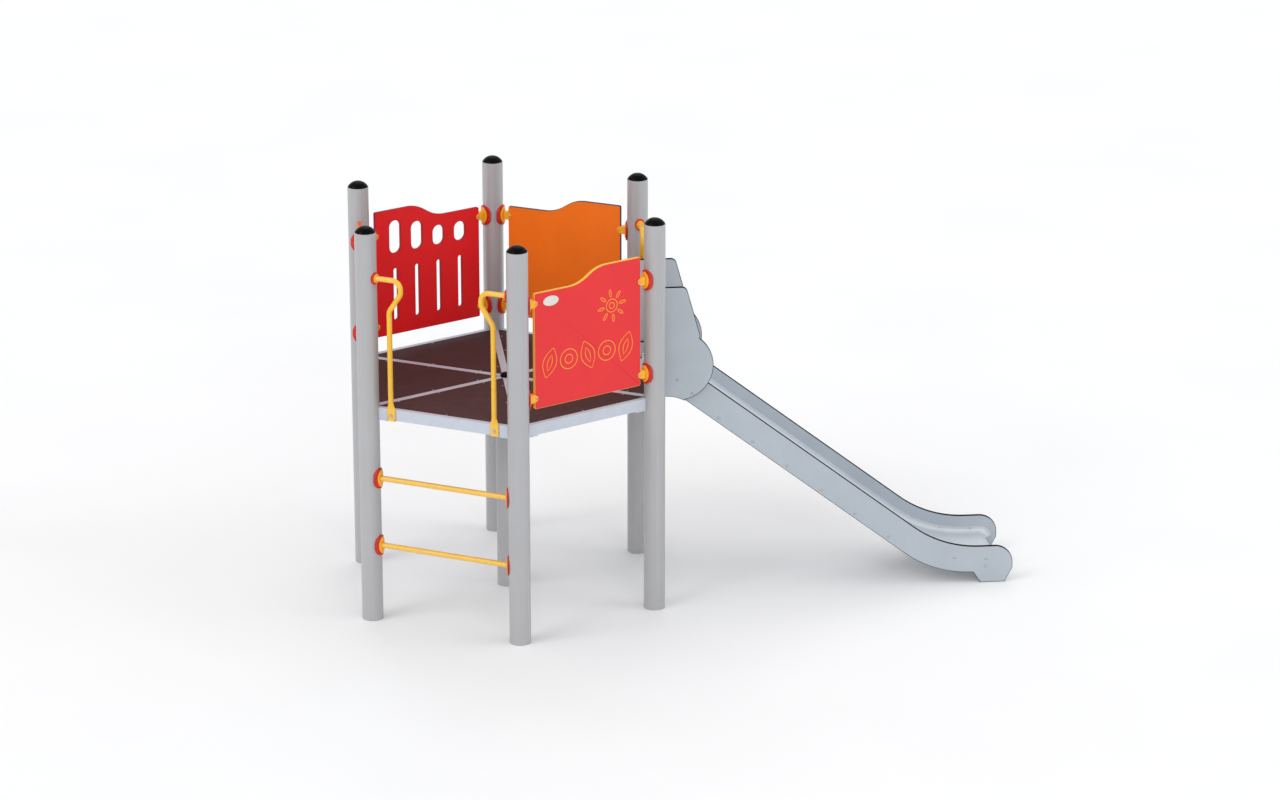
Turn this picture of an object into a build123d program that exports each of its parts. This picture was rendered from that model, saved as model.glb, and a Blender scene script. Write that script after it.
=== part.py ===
"""Straight slide with its hexagonal access tower, in millimetres.

The origin is the centre of the hexagon at ground level, +X runs down the slide and +Z is up.
Posts 1 to 6 follow one another anticlockwise, and side n lies between posts n and n + 1:
side 1 is the way in, side 3 carries the slide, and the other four carry barrier panels.
"""

from build123d import *

import math
import os

os.makedirs("parts", exist_ok=True)

# Tower
hex_radius = 880.0  # hexagon centre to post centre
side_apothem = hex_radius * math.cos(math.radians(30.0))
deck_top = 1200.0
first_post_angle = -150.0
post_radius = 57.0
post_wall = 4.0
post_height = deck_top + 961.0
foot_plate = 6.0
cap_radius = post_radius - 2.5
cap_flange = 3.0
cap_dome = 30.0
cap_skirt = 35.0
cap_wall = 4.0

# Deck
rim_height = 61.0
rim_flange = 30.0
sheet = 4.0
ledge_width = 20.0
ledge_inset = post_radius + 33.0
board_thickness = 18.0
board_gap = 2.0
spoke_width = 38.0
hub_radius = 38.0
hub_plate_radius = 95.0
hub_plate_thickness = 8.0
hub_cap_radius = 30.0
hub_cap_height = 22.0
corner_plate_radius = post_radius + 68.0
corner_plate_thickness = 6.0
weld_gap = 0.2

# Barrier panels
panel_thickness = 19.0
panel_margin = post_radius + 43.0  # post centre to panel edge
panel_bottom = deck_top + 85.0
panel_low = deck_top + 717.0
panel_high = deck_top + 797.0
wave_low_corner = -60.0  # from the panel's middle to where the low top would turn up
wave_high_corner = 67.0
wave_radius = 200.0
panel_corner = 9.0
window_width = 74.0
window_pitch = 141.3
window_bottom = deck_top + 547.0
window_heights = (187.0, 159.0, 113.0, 110.0)
slot_width = 28.0
slot_bottom = deck_top + 165.0
slot_height = 297.0
badge_length = 96.0
badge_height = 54.0
badge_thickness = 2.0
badge_along = 204.0
badge_z = deck_top + 662.0

# Saddles, studs and clips that hold the panels, rungs and handles to the posts
lower_fix = deck_top + 144.0
upper_fix = deck_top + 662.0
saddle_width = 98.0
saddle_height = 114.0
saddle_radius = post_radius + 9.0
saddle_back = post_radius - 11.0  # post centre to the saddle's flat back
boss_width = 58.0
boss_height = 93.0
boss_radius = saddle_radius + 5.0
edge_round = 2.0
stud_radius = 5.0
stud_inner = post_radius - 19.0
stud_outer = boss_radius + 13.0
nut_width = 17.0
nut_thickness = 8.0
fit_gap = 0.2
clip_root = 22.0
clip_tip = 9.0
clip_wall = 5.0
clip_grip = 18.0
clip_bolt_radius = 3.0

# Rungs and handles
rung_radius = 15.0
tube_wall = 2.5
rung_heights = (426.0, 805.0)
handle_radius = 14.0
handle_top = deck_top + 717.0
handle_reach = 206.0
handle_bulge = deck_top + 645.0
handle_leg = 137.0
handle_knee = deck_top + 544.0
handle_bend = 48.0
handle_outward = 8.0
handle_flat_start = deck_top + 40.0
pad_width = 48.0
pad_thickness = 9.0
pad_top = deck_top + 3.0
pad_bottom = deck_top - 63.0
handle_saddle_width = 56.0
handle_saddle_height = 66.0
handle_boss_width = 42.0
handle_boss_height = 50.0
handle_bolt_z = deck_top - 34.0
bolt_radius = 5.0

# Slide
slope = 37.4
wall_thickness = 19.0
handle_to_wing = 3.2
chute_inner_width = hex_radius - 2.0 * (handle_leg + handle_to_wing) - pad_width - 4.0 * wall_thickness
wall_depth = 150.0
wall_above_deck = 92.0
exit_top = 212.0
brow_reach = 199.7  # deck side to where the level and sloping wall tops would meet
brow_radius = 350.0
run_out_radius = 600.0
underside_radius = 600.0
nose_reach = 387.6  # this and the reaches below start where the slope would meet the run-out
nose_radius = 100.0
toe_front_reach = 345.6
toe_back_reach = 209.6
toe_notch_reach = 167.6
head_gap = 2.0
head_overlap = 17.0
trough_depth = 100.0
trough_sheet = 2.5
trough_side = 36.0
trough_corner = 25.0
trough_gap = 0.3
lip_reach = 285.6
lip_radius = 38.0
lip_turn = 80.0
cross_first = 306.0  # down the slope from its top
cross_last = 287.6  # up the slope from its foot
cross_count = 6
cross_radius = 22.5
cross_plug = 14.0
exit_cross_reach = 237.6
exit_cross_radius = 12.5
side_bolt_reach = 64.6
side_bolt_depth = 60.0
side_bolt_exit_depth = 74.0
m8_radius = 4.0
head_radius = 8.0
head_height = 4.0
bracket_inset = 30.0
bracket_bolt_reach = 38.0
bracket_bolt_drop = 32.0

# Wings
wing_top = deck_top + 556.0
wing_top_x = side_apothem + 187.9
wing_corner = 32.0
wing_slant_x = side_apothem + 263.9
wing_slant_z = deck_top + 283.0
wing_disc_x = side_apothem + 142.9
wing_disc_z = deck_top + 113.0
wing_disc_radius = 193.0
wing_bolts = (
    (side_apothem + 37.9, deck_top - 24.0),
    (side_apothem + 37.9, deck_top + 62.0),
    (side_apothem + 142.9, deck_top + 36.0),
    (side_apothem + 222.9, deck_top - 42.0),
)

# Values that follow from the ones above
rim_bottom = deck_top - rim_height
seat_z = deck_top - board_thickness
half_slope = math.tan(math.radians(slope / 2.0))
wall_top = deck_top + wall_above_deck
brow_x = side_apothem + brow_reach
foot_x = brow_x + (wall_top - exit_top) / math.tan(math.radians(slope))
slope_length = (wall_top - exit_top) / math.sin(math.radians(slope))
cross_pitch = (slope_length - cross_first - cross_last) / (cross_count - 1)
nose_x = foot_x + nose_reach
toe_front = foot_x + toe_front_reach
toe_back = foot_x + toe_back_reach
toe_notch = foot_x + toe_notch_reach
lip_x = foot_x + lip_reach
exit_cross_x = foot_x + exit_cross_reach
side_bolt_x = foot_x + side_bolt_reach
head_x = side_apothem + head_gap
wall_mid = (chute_inner_width + wall_thickness) / 2.0
wing_mid = wall_mid + wall_thickness
tube_start = saddle_radius + fit_gap
panel_sides = (2, 4, 5, 6)
tall_solid = 2.0 * saddle_height


def save(piece, name):
    """Labels a finished piece and writes it as one STEP file."""
    piece.part.label = name
    export_step(piece.part, f"parts/{name}.step")


def next_post(number):
    return number % 6 + 1


def post_point(number, z=0.0):
    """Centre of a post at height z."""
    angle = math.radians(first_post_angle + 60.0 * (number - 1))
    return Vector(hex_radius * math.cos(angle), hex_radius * math.sin(angle), z)


def side_plane(number, outward=0.0):
    """Upright plane of a side: x runs from its first post to its second, y up and z outward."""
    start = post_point(number)
    run = (post_point(next_post(number)) - start).normalized()
    out = run.cross(Vector(0, 0, 1))
    return Plane(origin=start + out * outward, x_dir=run, z_dir=out)


def facing(number, neighbour, z):
    """Place of a fitting on a post: its own +X points at the neighbouring post."""
    across = post_point(neighbour) - post_point(number)
    turn = math.degrees(math.atan2(across.Y, across.X))
    centre = post_point(number, z)
    return Location((centre.X, centre.Y, centre.Z), (0, 0, turn))


def fitting_places(sides, heights):
    """Places of the fittings at both ends of the given sides, at each height."""
    places = []
    for side in sides:
        for z in heights:
            places.append(facing(side, next_post(side), z))
            places.append(facing(next_post(side), side, z))
    return places


panel_places = fitting_places(panel_sides, (lower_fix, upper_fix))
rung_places = fitting_places((1,), rung_heights)
handle_places = fitting_places((1, 3), (handle_top,))
handle_shift = (-handle_outward, handle_outward)  # sideways, on a side's first and second post
stud_places = panel_places + rung_places
for index, place in enumerate(handle_places):
    stud_places.append(place * Location((0, handle_shift[index % 2], 0)))


def on_slope(distance, depth):
    """Point a distance down the slope from the brow, and depth below the wall top."""
    angle = math.radians(slope)
    x = brow_x + distance * math.cos(angle) - depth * math.sin(angle)
    z = wall_top - distance * math.sin(angle) - depth * math.cos(angle)
    return (x, z)


def on_post(place, number):
    """Whether a fitting's place belongs to the given post."""
    away = Vector(place.position.X, place.position.Y) - post_point(number)
    return away.length < post_radius


cross_depth = trough_depth + trough_sheet + cross_radius
cross_points = []
for index in range(cross_count):
    cross_points.append(on_slope(cross_first + index * cross_pitch, cross_depth))
exit_cross = (exit_cross_x, exit_top - trough_depth - trough_sheet - exit_cross_radius)
side_points = [
    (side_bolt_x, exit_top - side_bolt_depth),
    (exit_cross_x, exit_top - side_bolt_exit_depth),
]
bracket_point = (head_x + bracket_bolt_reach, deck_top - bracket_bolt_drop)

# ------------------------------------------------------------------ posts and caps
for number in range(1, 7):
    with BuildPart() as post:
        with BuildSketch():
            with Locations(post_point(number)):
                Circle(post_radius)
                Circle(post_radius - post_wall, mode=Mode.SUBTRACT)
        extrude(amount=post_height)
        with Locations(*[place for place in stud_places if on_post(place, number)]):
            Cylinder(
                stud_radius + fit_gap,
                post_radius + post_wall,
                rotation=(0, 90, 0),
                align=(Align.CENTER, Align.CENTER, Align.MIN),
                mode=Mode.SUBTRACT,
            )
    save(post, f"post_{number}")

with BuildPart() as cap:
    dome_base = post_height + cap_flange
    with BuildSketch(Plane.XZ):
        with BuildLine():
            Polyline(
                (0, dome_base + cap_dome),
                (0, dome_base - cap_wall),
                (post_radius - post_wall - cap_wall, dome_base - cap_wall),
                (post_radius - post_wall - cap_wall, post_height - cap_skirt),
                (post_radius - post_wall - fit_gap, post_height - cap_skirt),
                (post_radius - post_wall - fit_gap, post_height),
                (cap_radius, post_height),
                (cap_radius, dome_base),
            )
            dome_radius = (cap_radius**2 + cap_dome**2) / (2.0 * cap_dome)
            RadiusArc((cap_radius, dome_base), (0, dome_base + cap_dome), -dome_radius)
        make_face()
    revolve(axis=Axis.Z)

with BuildPart() as post_caps:
    with Locations(*[post_point(number) for number in range(1, 7)]):
        add(cap.part)
save(post_caps, "post_caps")

with BuildPart() as centre_post:
    post_head = rim_bottom - hub_plate_thickness
    with BuildSketch():
        Circle(post_radius)
        Circle(post_radius - post_wall, mode=Mode.SUBTRACT)
    extrude(amount=post_head)
    Cylinder(post_radius, foot_plate, align=(Align.CENTER, Align.CENTER, Align.MIN))
save(centre_post, "centre_post")

# ------------------------------------------------------------------ deck frame
rim_section = [
    (0, rim_bottom),
    (0, deck_top),
    (-rim_flange, deck_top),
    (-rim_flange, seat_z),
    (-rim_flange - ledge_width, seat_z),
    (-rim_flange - ledge_width, seat_z - sheet),
    (-rim_flange + sheet, seat_z - sheet),
    (-rim_flange + sheet, deck_top - sheet),
    (-sheet, deck_top - sheet),
    (-sheet, rim_bottom + sheet),
    (-rim_flange, rim_bottom + sheet),
    (-rim_flange, rim_bottom),
]
for number in range(1, 7):
    base = side_plane(number)
    with BuildPart() as rim:
        section_plane = Plane(origin=base.origin, x_dir=base.z_dir, z_dir=base.x_dir * -1)
        with BuildSketch(section_plane):
            with BuildLine():
                Polyline(*rim_section, close=True)
            make_face()
        extrude(amount=-hex_radius)
        with Locations(post_point(number), post_point(next_post(number))):
            Cylinder(post_radius + weld_gap, 3.0 * deck_top, mode=Mode.SUBTRACT)
        with BuildSketch(section_plane):
            with Locations((-rim_flange - ledge_width / 2.0, seat_z - sheet / 2.0)):
                Rectangle(ledge_width, 2.0 * sheet)
        extrude(amount=-ledge_inset, mode=Mode.SUBTRACT)
        with BuildSketch(section_plane.offset(-hex_radius)):
            with Locations((-rim_flange - ledge_width / 2.0, seat_z - sheet / 2.0)):
                Rectangle(ledge_width, 2.0 * sheet)
        extrude(amount=ledge_inset, mode=Mode.SUBTRACT)
        if number in (1, 3):
            pads = [handle_leg, hex_radius - handle_leg]
            with BuildSketch(side_plane(number)):
                with Locations(*[(s, handle_bolt_z) for s in pads]):
                    Circle(bolt_radius + fit_gap)
            extrude(amount=-sheet * 2, mode=Mode.SUBTRACT)
        if number == 3:
            with BuildSketch(side_plane(number)):
                half_span = chute_inner_width / 2.0 - bracket_inset
                with Locations(
                    (hex_radius / 2.0 - half_span, bracket_point[1]),
                    (hex_radius / 2.0 + half_span, bracket_point[1]),
                ):
                    Circle(bolt_radius + fit_gap)
            extrude(amount=-sheet * 2, mode=Mode.SUBTRACT)
    save(rim, f"deck_rim_{number}")

ledge_start = 2.2 * (spoke_width / 2.0 + ledge_width)
ledge_end = hex_radius - post_radius - 45.0
with BuildPart() as spoke_pattern:
    with BuildSketch(Plane.YZ):
        with Locations((0, (deck_top + rim_bottom) / 2.0)):
            Rectangle(spoke_width, rim_height)
            Rectangle(spoke_width - 2 * sheet, rim_height - 2 * sheet, mode=Mode.SUBTRACT)
    extrude(amount=hex_radius)
    with BuildSketch(Plane.YZ.offset(ledge_start)):
        for side in (-1, 1):
            with Locations((side * (spoke_width + ledge_width) / 2.0, seat_z - sheet / 2.0)):
                Rectangle(ledge_width, sheet)
    extrude(amount=ledge_end - ledge_start)
    Cylinder(hub_radius + weld_gap, 3.0 * deck_top, mode=Mode.SUBTRACT)
    with Locations((hex_radius, 0, 0)):
        Cylinder(post_radius + weld_gap, 3.0 * deck_top, mode=Mode.SUBTRACT)
for number in range(1, 7):
    with BuildPart() as spoke:
        with Locations(Location((0, 0, 0), (0, 0, first_post_angle + 60.0 * (number - 1)))):
            add(spoke_pattern.part)
    save(spoke, f"deck_spoke_{number}")

with BuildPart() as deck_hub:
    with BuildSketch(Plane.XY.offset(post_head)):
        Circle(hub_plate_radius)
    extrude(amount=hub_plate_thickness)
    with BuildSketch(Plane.XY.offset(rim_bottom)):
        Circle(hub_radius)
    extrude(amount=rim_height - 2.0)
save(deck_hub, "deck_hub")

with BuildPart() as hub_cap:
    cap_seat = deck_top - 2.0
    with BuildSketch(Plane.XZ):
        with BuildLine():
            Polyline(
                (0, deck_top + hub_cap_height),
                (0, cap_seat),
                (hub_cap_radius, cap_seat),
                (hub_cap_radius, deck_top + sheet),
            )
            rise = hub_cap_height - sheet
            RadiusArc(
                (hub_cap_radius, deck_top + sheet),
                (0, deck_top + hub_cap_height),
                -(hub_cap_radius**2 + rise**2) / (2.0 * rise),
            )
        make_face()
    revolve(axis=Axis.Z)
save(hub_cap, "hub_cap")

with BuildPart() as corner_pattern:
    with BuildSketch(Plane.XY.offset(rim_bottom - corner_plate_thickness)):
        with Locations((hex_radius, 0)):
            Circle(corner_plate_radius)
            Circle(post_radius + weld_gap, mode=Mode.SUBTRACT)
        RegularPolygon(hex_radius, 6, mode=Mode.INTERSECT)
    extrude(amount=corner_plate_thickness)
corner_bolt_spots = [(hex_radius - post_radius - 40.0, 0.0)]
for side in (-1, 1):
    angle = math.radians(180.0 - side * 60.0)
    run = Vector(math.cos(angle), math.sin(angle))
    inward = Vector(-math.cos(math.radians(30.0)), -side * math.sin(math.radians(30.0)))
    spot = Vector(hex_radius, 0) + run * (post_radius + 38.0) + inward * (rim_flange * 0.55)
    corner_bolt_spots.append((spot.X, spot.Y))
with BuildPart() as corner_bolt_pattern:
    with BuildSketch(Plane.XY.offset(rim_bottom - corner_plate_thickness - 6.0)):
        with Locations(*corner_bolt_spots):
            RegularPolygon(8.0, 6)
    extrude(amount=6.0)
    with BuildSketch(Plane.XY.offset(rim_bottom - corner_plate_thickness)):
        with Locations(*corner_bolt_spots):
            Circle(bolt_radius)
    extrude(amount=corner_plate_thickness)
corner_places = []
for number in range(6):
    corner_places.append(Location((0, 0, 0), (0, 0, first_post_angle + 60.0 * number)))
with BuildPart() as corner_plates:
    with Locations(*corner_places):
        add(corner_pattern.part)
    with Locations(*corner_places):
        add(corner_bolt_pattern.part, mode=Mode.SUBTRACT)
save(corner_plates, "corner_plates")

# ------------------------------------------------------------------ deck boards
board_side = spoke_width / 2.0 + board_gap
board_edge = side_apothem - rim_flange - board_gap
screw_radius = 3.0
screw_head = 6.0
screw_depth = 3.5
screw_shift = 8.0
screw_side = (board_side + 9.0) / math.cos(math.radians(30.0)) - screw_shift * math.tan(math.radians(30.0))
with BuildPart() as board_pattern:
    inner_tip = board_side / math.sin(math.radians(30.0))
    far_x = board_edge
    far_y = (far_x - inner_tip) * math.tan(math.radians(30.0))
    with BuildSketch(Plane.XY.offset(seat_z)):
        with BuildLine():
            Polyline((inner_tip, 0), (far_x, far_y), (far_x, -far_y), close=True)
        make_face()
        Circle(hub_radius + 2.0 * board_gap, mode=Mode.SUBTRACT)
        for side in (-1, 1):
            with Locations((side_apothem, side * hex_radius / 2.0)):
                Circle(post_radius + board_gap, mode=Mode.SUBTRACT)
    extrude(amount=board_thickness)
screw_spots = [(board_edge - 9.0, 0.0)]
for side in (-1, 1):
    for reach in (150.0, 400.0, 620.0):
        screw_spots.append((reach + screw_shift, side * (reach * math.tan(math.radians(30.0)) - screw_side)))
with BuildPart() as screw_pattern:
    with BuildSketch(Plane.XZ):
        with BuildLine():
            Polyline(
                (0, deck_top),
                (screw_head, deck_top),
                (screw_radius, deck_top - screw_depth),
                (screw_radius, seat_z),
                (0, seat_z),
                close=True,
            )
        make_face()
    revolve(axis=Axis.Z)
board_places = []
for number in range(6):
    board_places.append(Location((0, 0, 0), (0, 0, first_post_angle + 30.0 + 60.0 * number)))
for number in range(1, 7):
    with BuildPart() as board:
        with Locations(board_places[number - 1]):
            add(board_pattern.part)
        with Locations(*[board_places[number - 1] * Location((x, y, 0)) for x, y in screw_spots]):
            add(screw_pattern.part, mode=Mode.SUBTRACT)
    save(board, f"deck_board_{number}")
with BuildPart() as board_screws:
    with Locations(*[place * Location((x, y, 0)) for place in board_places for x, y in screw_spots]):
        add(screw_pattern.part)
save(board_screws, "board_screws")


# ------------------------------------------------------------------ saddles, studs and clips
def oval_on_post(width, height, inner, outer, bore, sideways=0.0):
    """Oval pad hugging a post that stands on the origin, facing +X, with a bore through it."""
    with BuildPart() as pad:
        with BuildSketch(Plane.YZ):
            with Locations((sideways, 0)):
                Ellipse(width / 2.0, height / 2.0)
        extrude(amount=2.0 * outer)
        Cylinder(outer, tall_solid, rotation=(0, 0, 180), mode=Mode.INTERSECT)
        front_edges = pad.edges().filter_by(lambda edge: edge.bounding_box().min.X > 1.0)
        front_edges = front_edges.filter_by(GeomType.LINE, reverse=True)
        fillet(front_edges, edge_round)
        Cylinder(inner, tall_solid, rotation=(0, 0, 180), mode=Mode.SUBTRACT)
        with Locations((saddle_back, 0, 0)):
            Box(
                outer,
                tall_solid,
                tall_solid,
                align=(Align.MAX, Align.CENTER, Align.CENTER),
                mode=Mode.SUBTRACT,
            )
        with Locations((0, sideways, 0)):
            Cylinder(
                bore,
                outer + 1.0,
                rotation=(0, 90, 0),
                align=(Align.CENTER, Align.CENTER, Align.MIN),
                mode=Mode.SUBTRACT,
            )
    return pad.part


def place_all(name, pattern, places):
    """Writes one node with a copy of the pattern at each place."""
    with BuildPart() as group:
        with Locations(*places):
            add(pattern)
    save(group, name)


stud_bore = stud_radius + fit_gap
red_oval = oval_on_post(saddle_width, saddle_height, post_radius, saddle_radius, stud_bore)
place_all("saddles", red_oval, panel_places + rung_places)
place_all(
    "panel_bosses",
    oval_on_post(boss_width, boss_height, saddle_radius, boss_radius, stud_bore),
    panel_places,
)
place_all(
    "rung_bosses",
    oval_on_post(boss_width, boss_height, saddle_radius, boss_radius, rung_radius + fit_gap),
    rung_places,
)
handle_saddle_pair = []
handle_boss_pair = []
for sideways in handle_shift:
    saddle_size = (handle_saddle_width, handle_saddle_height, post_radius, saddle_radius)
    handle_saddle_pair.append(oval_on_post(*saddle_size, stud_bore, sideways))
    boss_size = (handle_boss_width, handle_boss_height, saddle_radius, boss_radius)
    handle_boss_pair.append(oval_on_post(*boss_size, handle_radius + fit_gap, sideways))
with BuildPart() as handle_saddles:
    for index in (0, 1):
        with Locations(*handle_places[index::2]):
            add(handle_saddle_pair[index])
save(handle_saddles, "handle_saddles")
with BuildPart() as handle_bosses:
    for index in (0, 1):
        with Locations(*handle_places[index::2]):
            add(handle_boss_pair[index])
save(handle_bosses, "handle_bosses")

with BuildPart() as stud:
    with Locations(Plane.YZ.offset(stud_inner)):
        Cylinder(stud_radius, stud_outer - stud_inner, align=(Align.CENTER, Align.CENTER, Align.MIN))
    with BuildSketch(Plane.YZ.offset(stud_inner + 2.0)):
        RegularPolygon(nut_width / 2.0, 6, major_radius=False)
    extrude(amount=nut_thickness)
place_all("saddle_studs", stud.part, stud_places)

clip_end = panel_margin + clip_grip
clip_half = panel_thickness / 2.0 + clip_wall
with BuildPart() as clip:
    with BuildSketch(Plane.XZ):
        with BuildLine():
            FilletPolyline(
                (boss_radius + fit_gap, -clip_root),
                (panel_margin - 2.0, -clip_root),
                (clip_end, -clip_tip),
                (clip_end, clip_tip),
                (panel_margin - 2.0, clip_root),
                (boss_radius + fit_gap, clip_root),
                radius=(3, 8, 8, 8, 8, 3),
                close=True,
            )
        make_face()
    extrude(amount=clip_half, both=True)
    fillet(clip.edges().filter_by(Plane.XZ).filter_by(GeomType.LINE), 1.5)
    with Locations((panel_margin - fit_gap, 0, 0)):
        Box(
            2.0 * clip_grip,
            panel_thickness + 2.0 * fit_gap,
            4.0 * clip_root,
            align=(Align.MIN, Align.CENTER, Align.CENTER),
            mode=Mode.SUBTRACT,
        )
    with Locations((0, 0, 0)):
        Cylinder(
            stud_radius + fit_gap,
            stud_outer + 1.0,
            rotation=(0, 90, 0),
            align=(Align.CENTER, Align.CENTER, Align.MIN),
            mode=Mode.SUBTRACT,
        )
    with Locations((clip_end - clip_tip, 0, 0)):
        Cylinder(clip_bolt_radius + fit_gap, 4.0 * clip_half, rotation=(90, 0, 0), mode=Mode.SUBTRACT)
place_all("panel_clips", clip.part, panel_places)

with BuildPart() as clip_bolt:
    with Locations((clip_end - clip_tip, 0, 0)):
        Cylinder(clip_bolt_radius, 2.0 * clip_half, rotation=(90, 0, 0))
    for side in (-1, 1):
        with Locations((clip_end - clip_tip, side * (clip_half + 1.5), 0)):
            Cylinder(2.0 * clip_bolt_radius, 3.0, rotation=(90, 0, 0))
place_all("clip_bolts", clip_bolt.part, panel_places)


# ------------------------------------------------------------------ barrier panels
def panel_sketch(low_first):
    """Outline of a barrier panel in its side plane, with a wave from its low to its high end."""
    middle = hex_radius / 2.0
    points = [
        (panel_margin, panel_bottom),
        (panel_margin, panel_low),
        (middle + wave_low_corner, panel_low),
        (middle + wave_high_corner, panel_high),
        (hex_radius - panel_margin, panel_high),
        (hex_radius - panel_margin, panel_bottom),
    ]
    if not low_first:
        points = [(2.0 * middle - x, z) for x, z in points]
    with BuildSketch() as outline:
        with BuildLine():
            FilletPolyline(
                *points,
                radius=(panel_corner, panel_corner, wave_radius, wave_radius, panel_corner, panel_corner),
                close=True,
            )
        make_face()
        for along in (clip_end - clip_tip, hex_radius - clip_end + clip_tip):
            with Locations((along, lower_fix), (along, upper_fix)):
                Circle(clip_bolt_radius + fit_gap, mode=Mode.SUBTRACT)
    return outline.sketch


def add_panel(name, side, low_first):
    with BuildPart() as panel:
        with BuildSketch(side_plane(side)):
            add(panel_sketch(low_first))
        extrude(amount=panel_thickness / 2.0, both=True)
    save(panel, name)


add_panel("front_panel", 2, True)
add_panel("rear_panel", 4, False)
add_panel("end_panel", 6, False)

with BuildPart() as window_panel:
    with BuildSketch(side_plane(5)):
        add(panel_sketch(True))
        for index, height in enumerate(window_heights):
            along = hex_radius / 2.0 - (index - 1.5) * window_pitch
            with Locations((along, window_bottom + height / 2.0)):
                SlotOverall(height, window_width, rotation=90, mode=Mode.SUBTRACT)
            with Locations((along, slot_bottom + slot_height / 2.0)):
                SlotOverall(slot_height, slot_width, rotation=90, mode=Mode.SUBTRACT)
    extrude(amount=panel_thickness / 2.0, both=True)
save(window_panel, "window_panel")

with BuildPart() as badge_plate:
    with BuildSketch(side_plane(2, panel_thickness / 2.0)):
        with Locations((badge_along, badge_z)):
            Ellipse(badge_length / 2.0, badge_height / 2.0)
    extrude(amount=badge_thickness)
save(badge_plate, "badge_plate")

# ------------------------------------------------------------------ rungs
rung_plug = stud_outer - tube_start + 4.0
rung_length = hex_radius - 2.0 * tube_start
for name, z in zip(("lower_rung", "upper_rung"), rung_heights):
    base = side_plane(1)
    start = base.origin + base.x_dir * tube_start + Vector(0, 0, z)
    with BuildPart() as rung:
        with BuildSketch(Plane(origin=start, z_dir=base.x_dir)):
            Circle(rung_radius)
            Circle(stud_radius, mode=Mode.SUBTRACT)
        extrude(amount=rung_length)
        with BuildSketch(Plane(origin=start + base.x_dir * rung_plug, z_dir=base.x_dir)):
            Circle(rung_radius - tube_wall)
        extrude(amount=rung_length - 2.0 * rung_plug, mode=Mode.SUBTRACT)
    save(rung, name)


# ------------------------------------------------------------------ handles
def handle_part(number, neighbour):
    """Handle on a post, reaching towards its neighbour and flattened where it meets the deck rim."""
    across = (post_point(neighbour) - post_point(number)).normalized()
    middle = post_point(number) + post_point(neighbour)
    out = middle.normalized()
    origin = post_point(number) + out * handle_outward
    bend_plane = Plane(origin=origin, x_dir=across, z_dir=across.cross(Vector(0, 0, 1)))
    with BuildPart() as handle:
        with BuildLine(bend_plane) as path:
            FilletPolyline(
                (tube_start, handle_top),
                (handle_reach, handle_top),
                (handle_reach, handle_bulge),
                (handle_leg, handle_knee),
                (handle_leg, handle_flat_start),
                radius=handle_bend,
            )
        start = origin + across * tube_start + Vector(0, 0, handle_top)
        with BuildSketch(Plane(origin=start, z_dir=across)):
            Circle(handle_radius)
            Circle(handle_radius - tube_wall, mode=Mode.SUBTRACT)
        sweep(path=path.line)
        leg = origin + across * handle_leg
        pad_centre = leg + out * (pad_thickness / 2.0 - handle_outward)
        with BuildSketch(Plane(origin=leg + Vector(0, 0, handle_flat_start), x_dir=across)):
            Circle(handle_radius)
        with BuildSketch(Plane(origin=pad_centre + Vector(0, 0, pad_top), x_dir=across)):
            SlotOverall(pad_width, pad_thickness)
        loft()
        with BuildSketch(Plane(origin=pad_centre + Vector(0, 0, pad_top), x_dir=across)):
            SlotOverall(pad_width, pad_thickness)
        extrude(amount=pad_bottom - pad_top)
        bolt_plane = Plane(origin=pad_centre + Vector(0, 0, handle_bolt_z), z_dir=out)
        with BuildSketch(bolt_plane):
            Circle(bolt_radius + fit_gap)
        extrude(amount=pad_thickness, both=True, mode=Mode.SUBTRACT)
    return handle


handle_ends = {1: 2, 2: 1, 3: 4, 4: 3}
for number, neighbour in handle_ends.items():
    save(handle_part(number, neighbour), f"handle_{number}")

with BuildPart() as frame_bolts:
    with Locations(*corner_places):
        add(corner_bolt_pattern.part)
    for side in (1, 3):
        for along in (handle_leg, hex_radius - handle_leg):
            outer = side_plane(side, pad_thickness)
            with BuildSketch(outer):
                with Locations((along, handle_bolt_z)):
                    Circle(9.0)
            extrude(amount=5.0)
            with BuildSketch(outer):
                with Locations((along, handle_bolt_z)):
                    Circle(bolt_radius)
            extrude(amount=-pad_thickness - sheet - nut_thickness - 4.0)
            with BuildSketch(side_plane(side, -sheet)):
                with Locations((along, handle_bolt_z)):
                    RegularPolygon(nut_width / 2.0, 6, major_radius=False)
            extrude(amount=-nut_thickness)
save(frame_bolts, "frame_bolts")


# ------------------------------------------------------------------ slide walls
def bottom_line(depth):
    """Corner points of the underside, from the head to the run-out, at a depth below the wall top."""
    shift = depth * half_slope
    return [(brow_x - shift, wall_top - depth), (foot_x - shift, exit_top - depth)]


def wall_holes():
    """Circles for the bolts that pass through a slide wall."""
    for x, z in cross_points + [exit_cross] + side_points + [bracket_point]:
        with Locations((x, z)):
            Circle(m8_radius + fit_gap, mode=Mode.SUBTRACT)
    for x, z in wing_bolts:
        with Locations((x, z)):
            Circle(m8_radius + fit_gap, mode=Mode.SUBTRACT)


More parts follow.
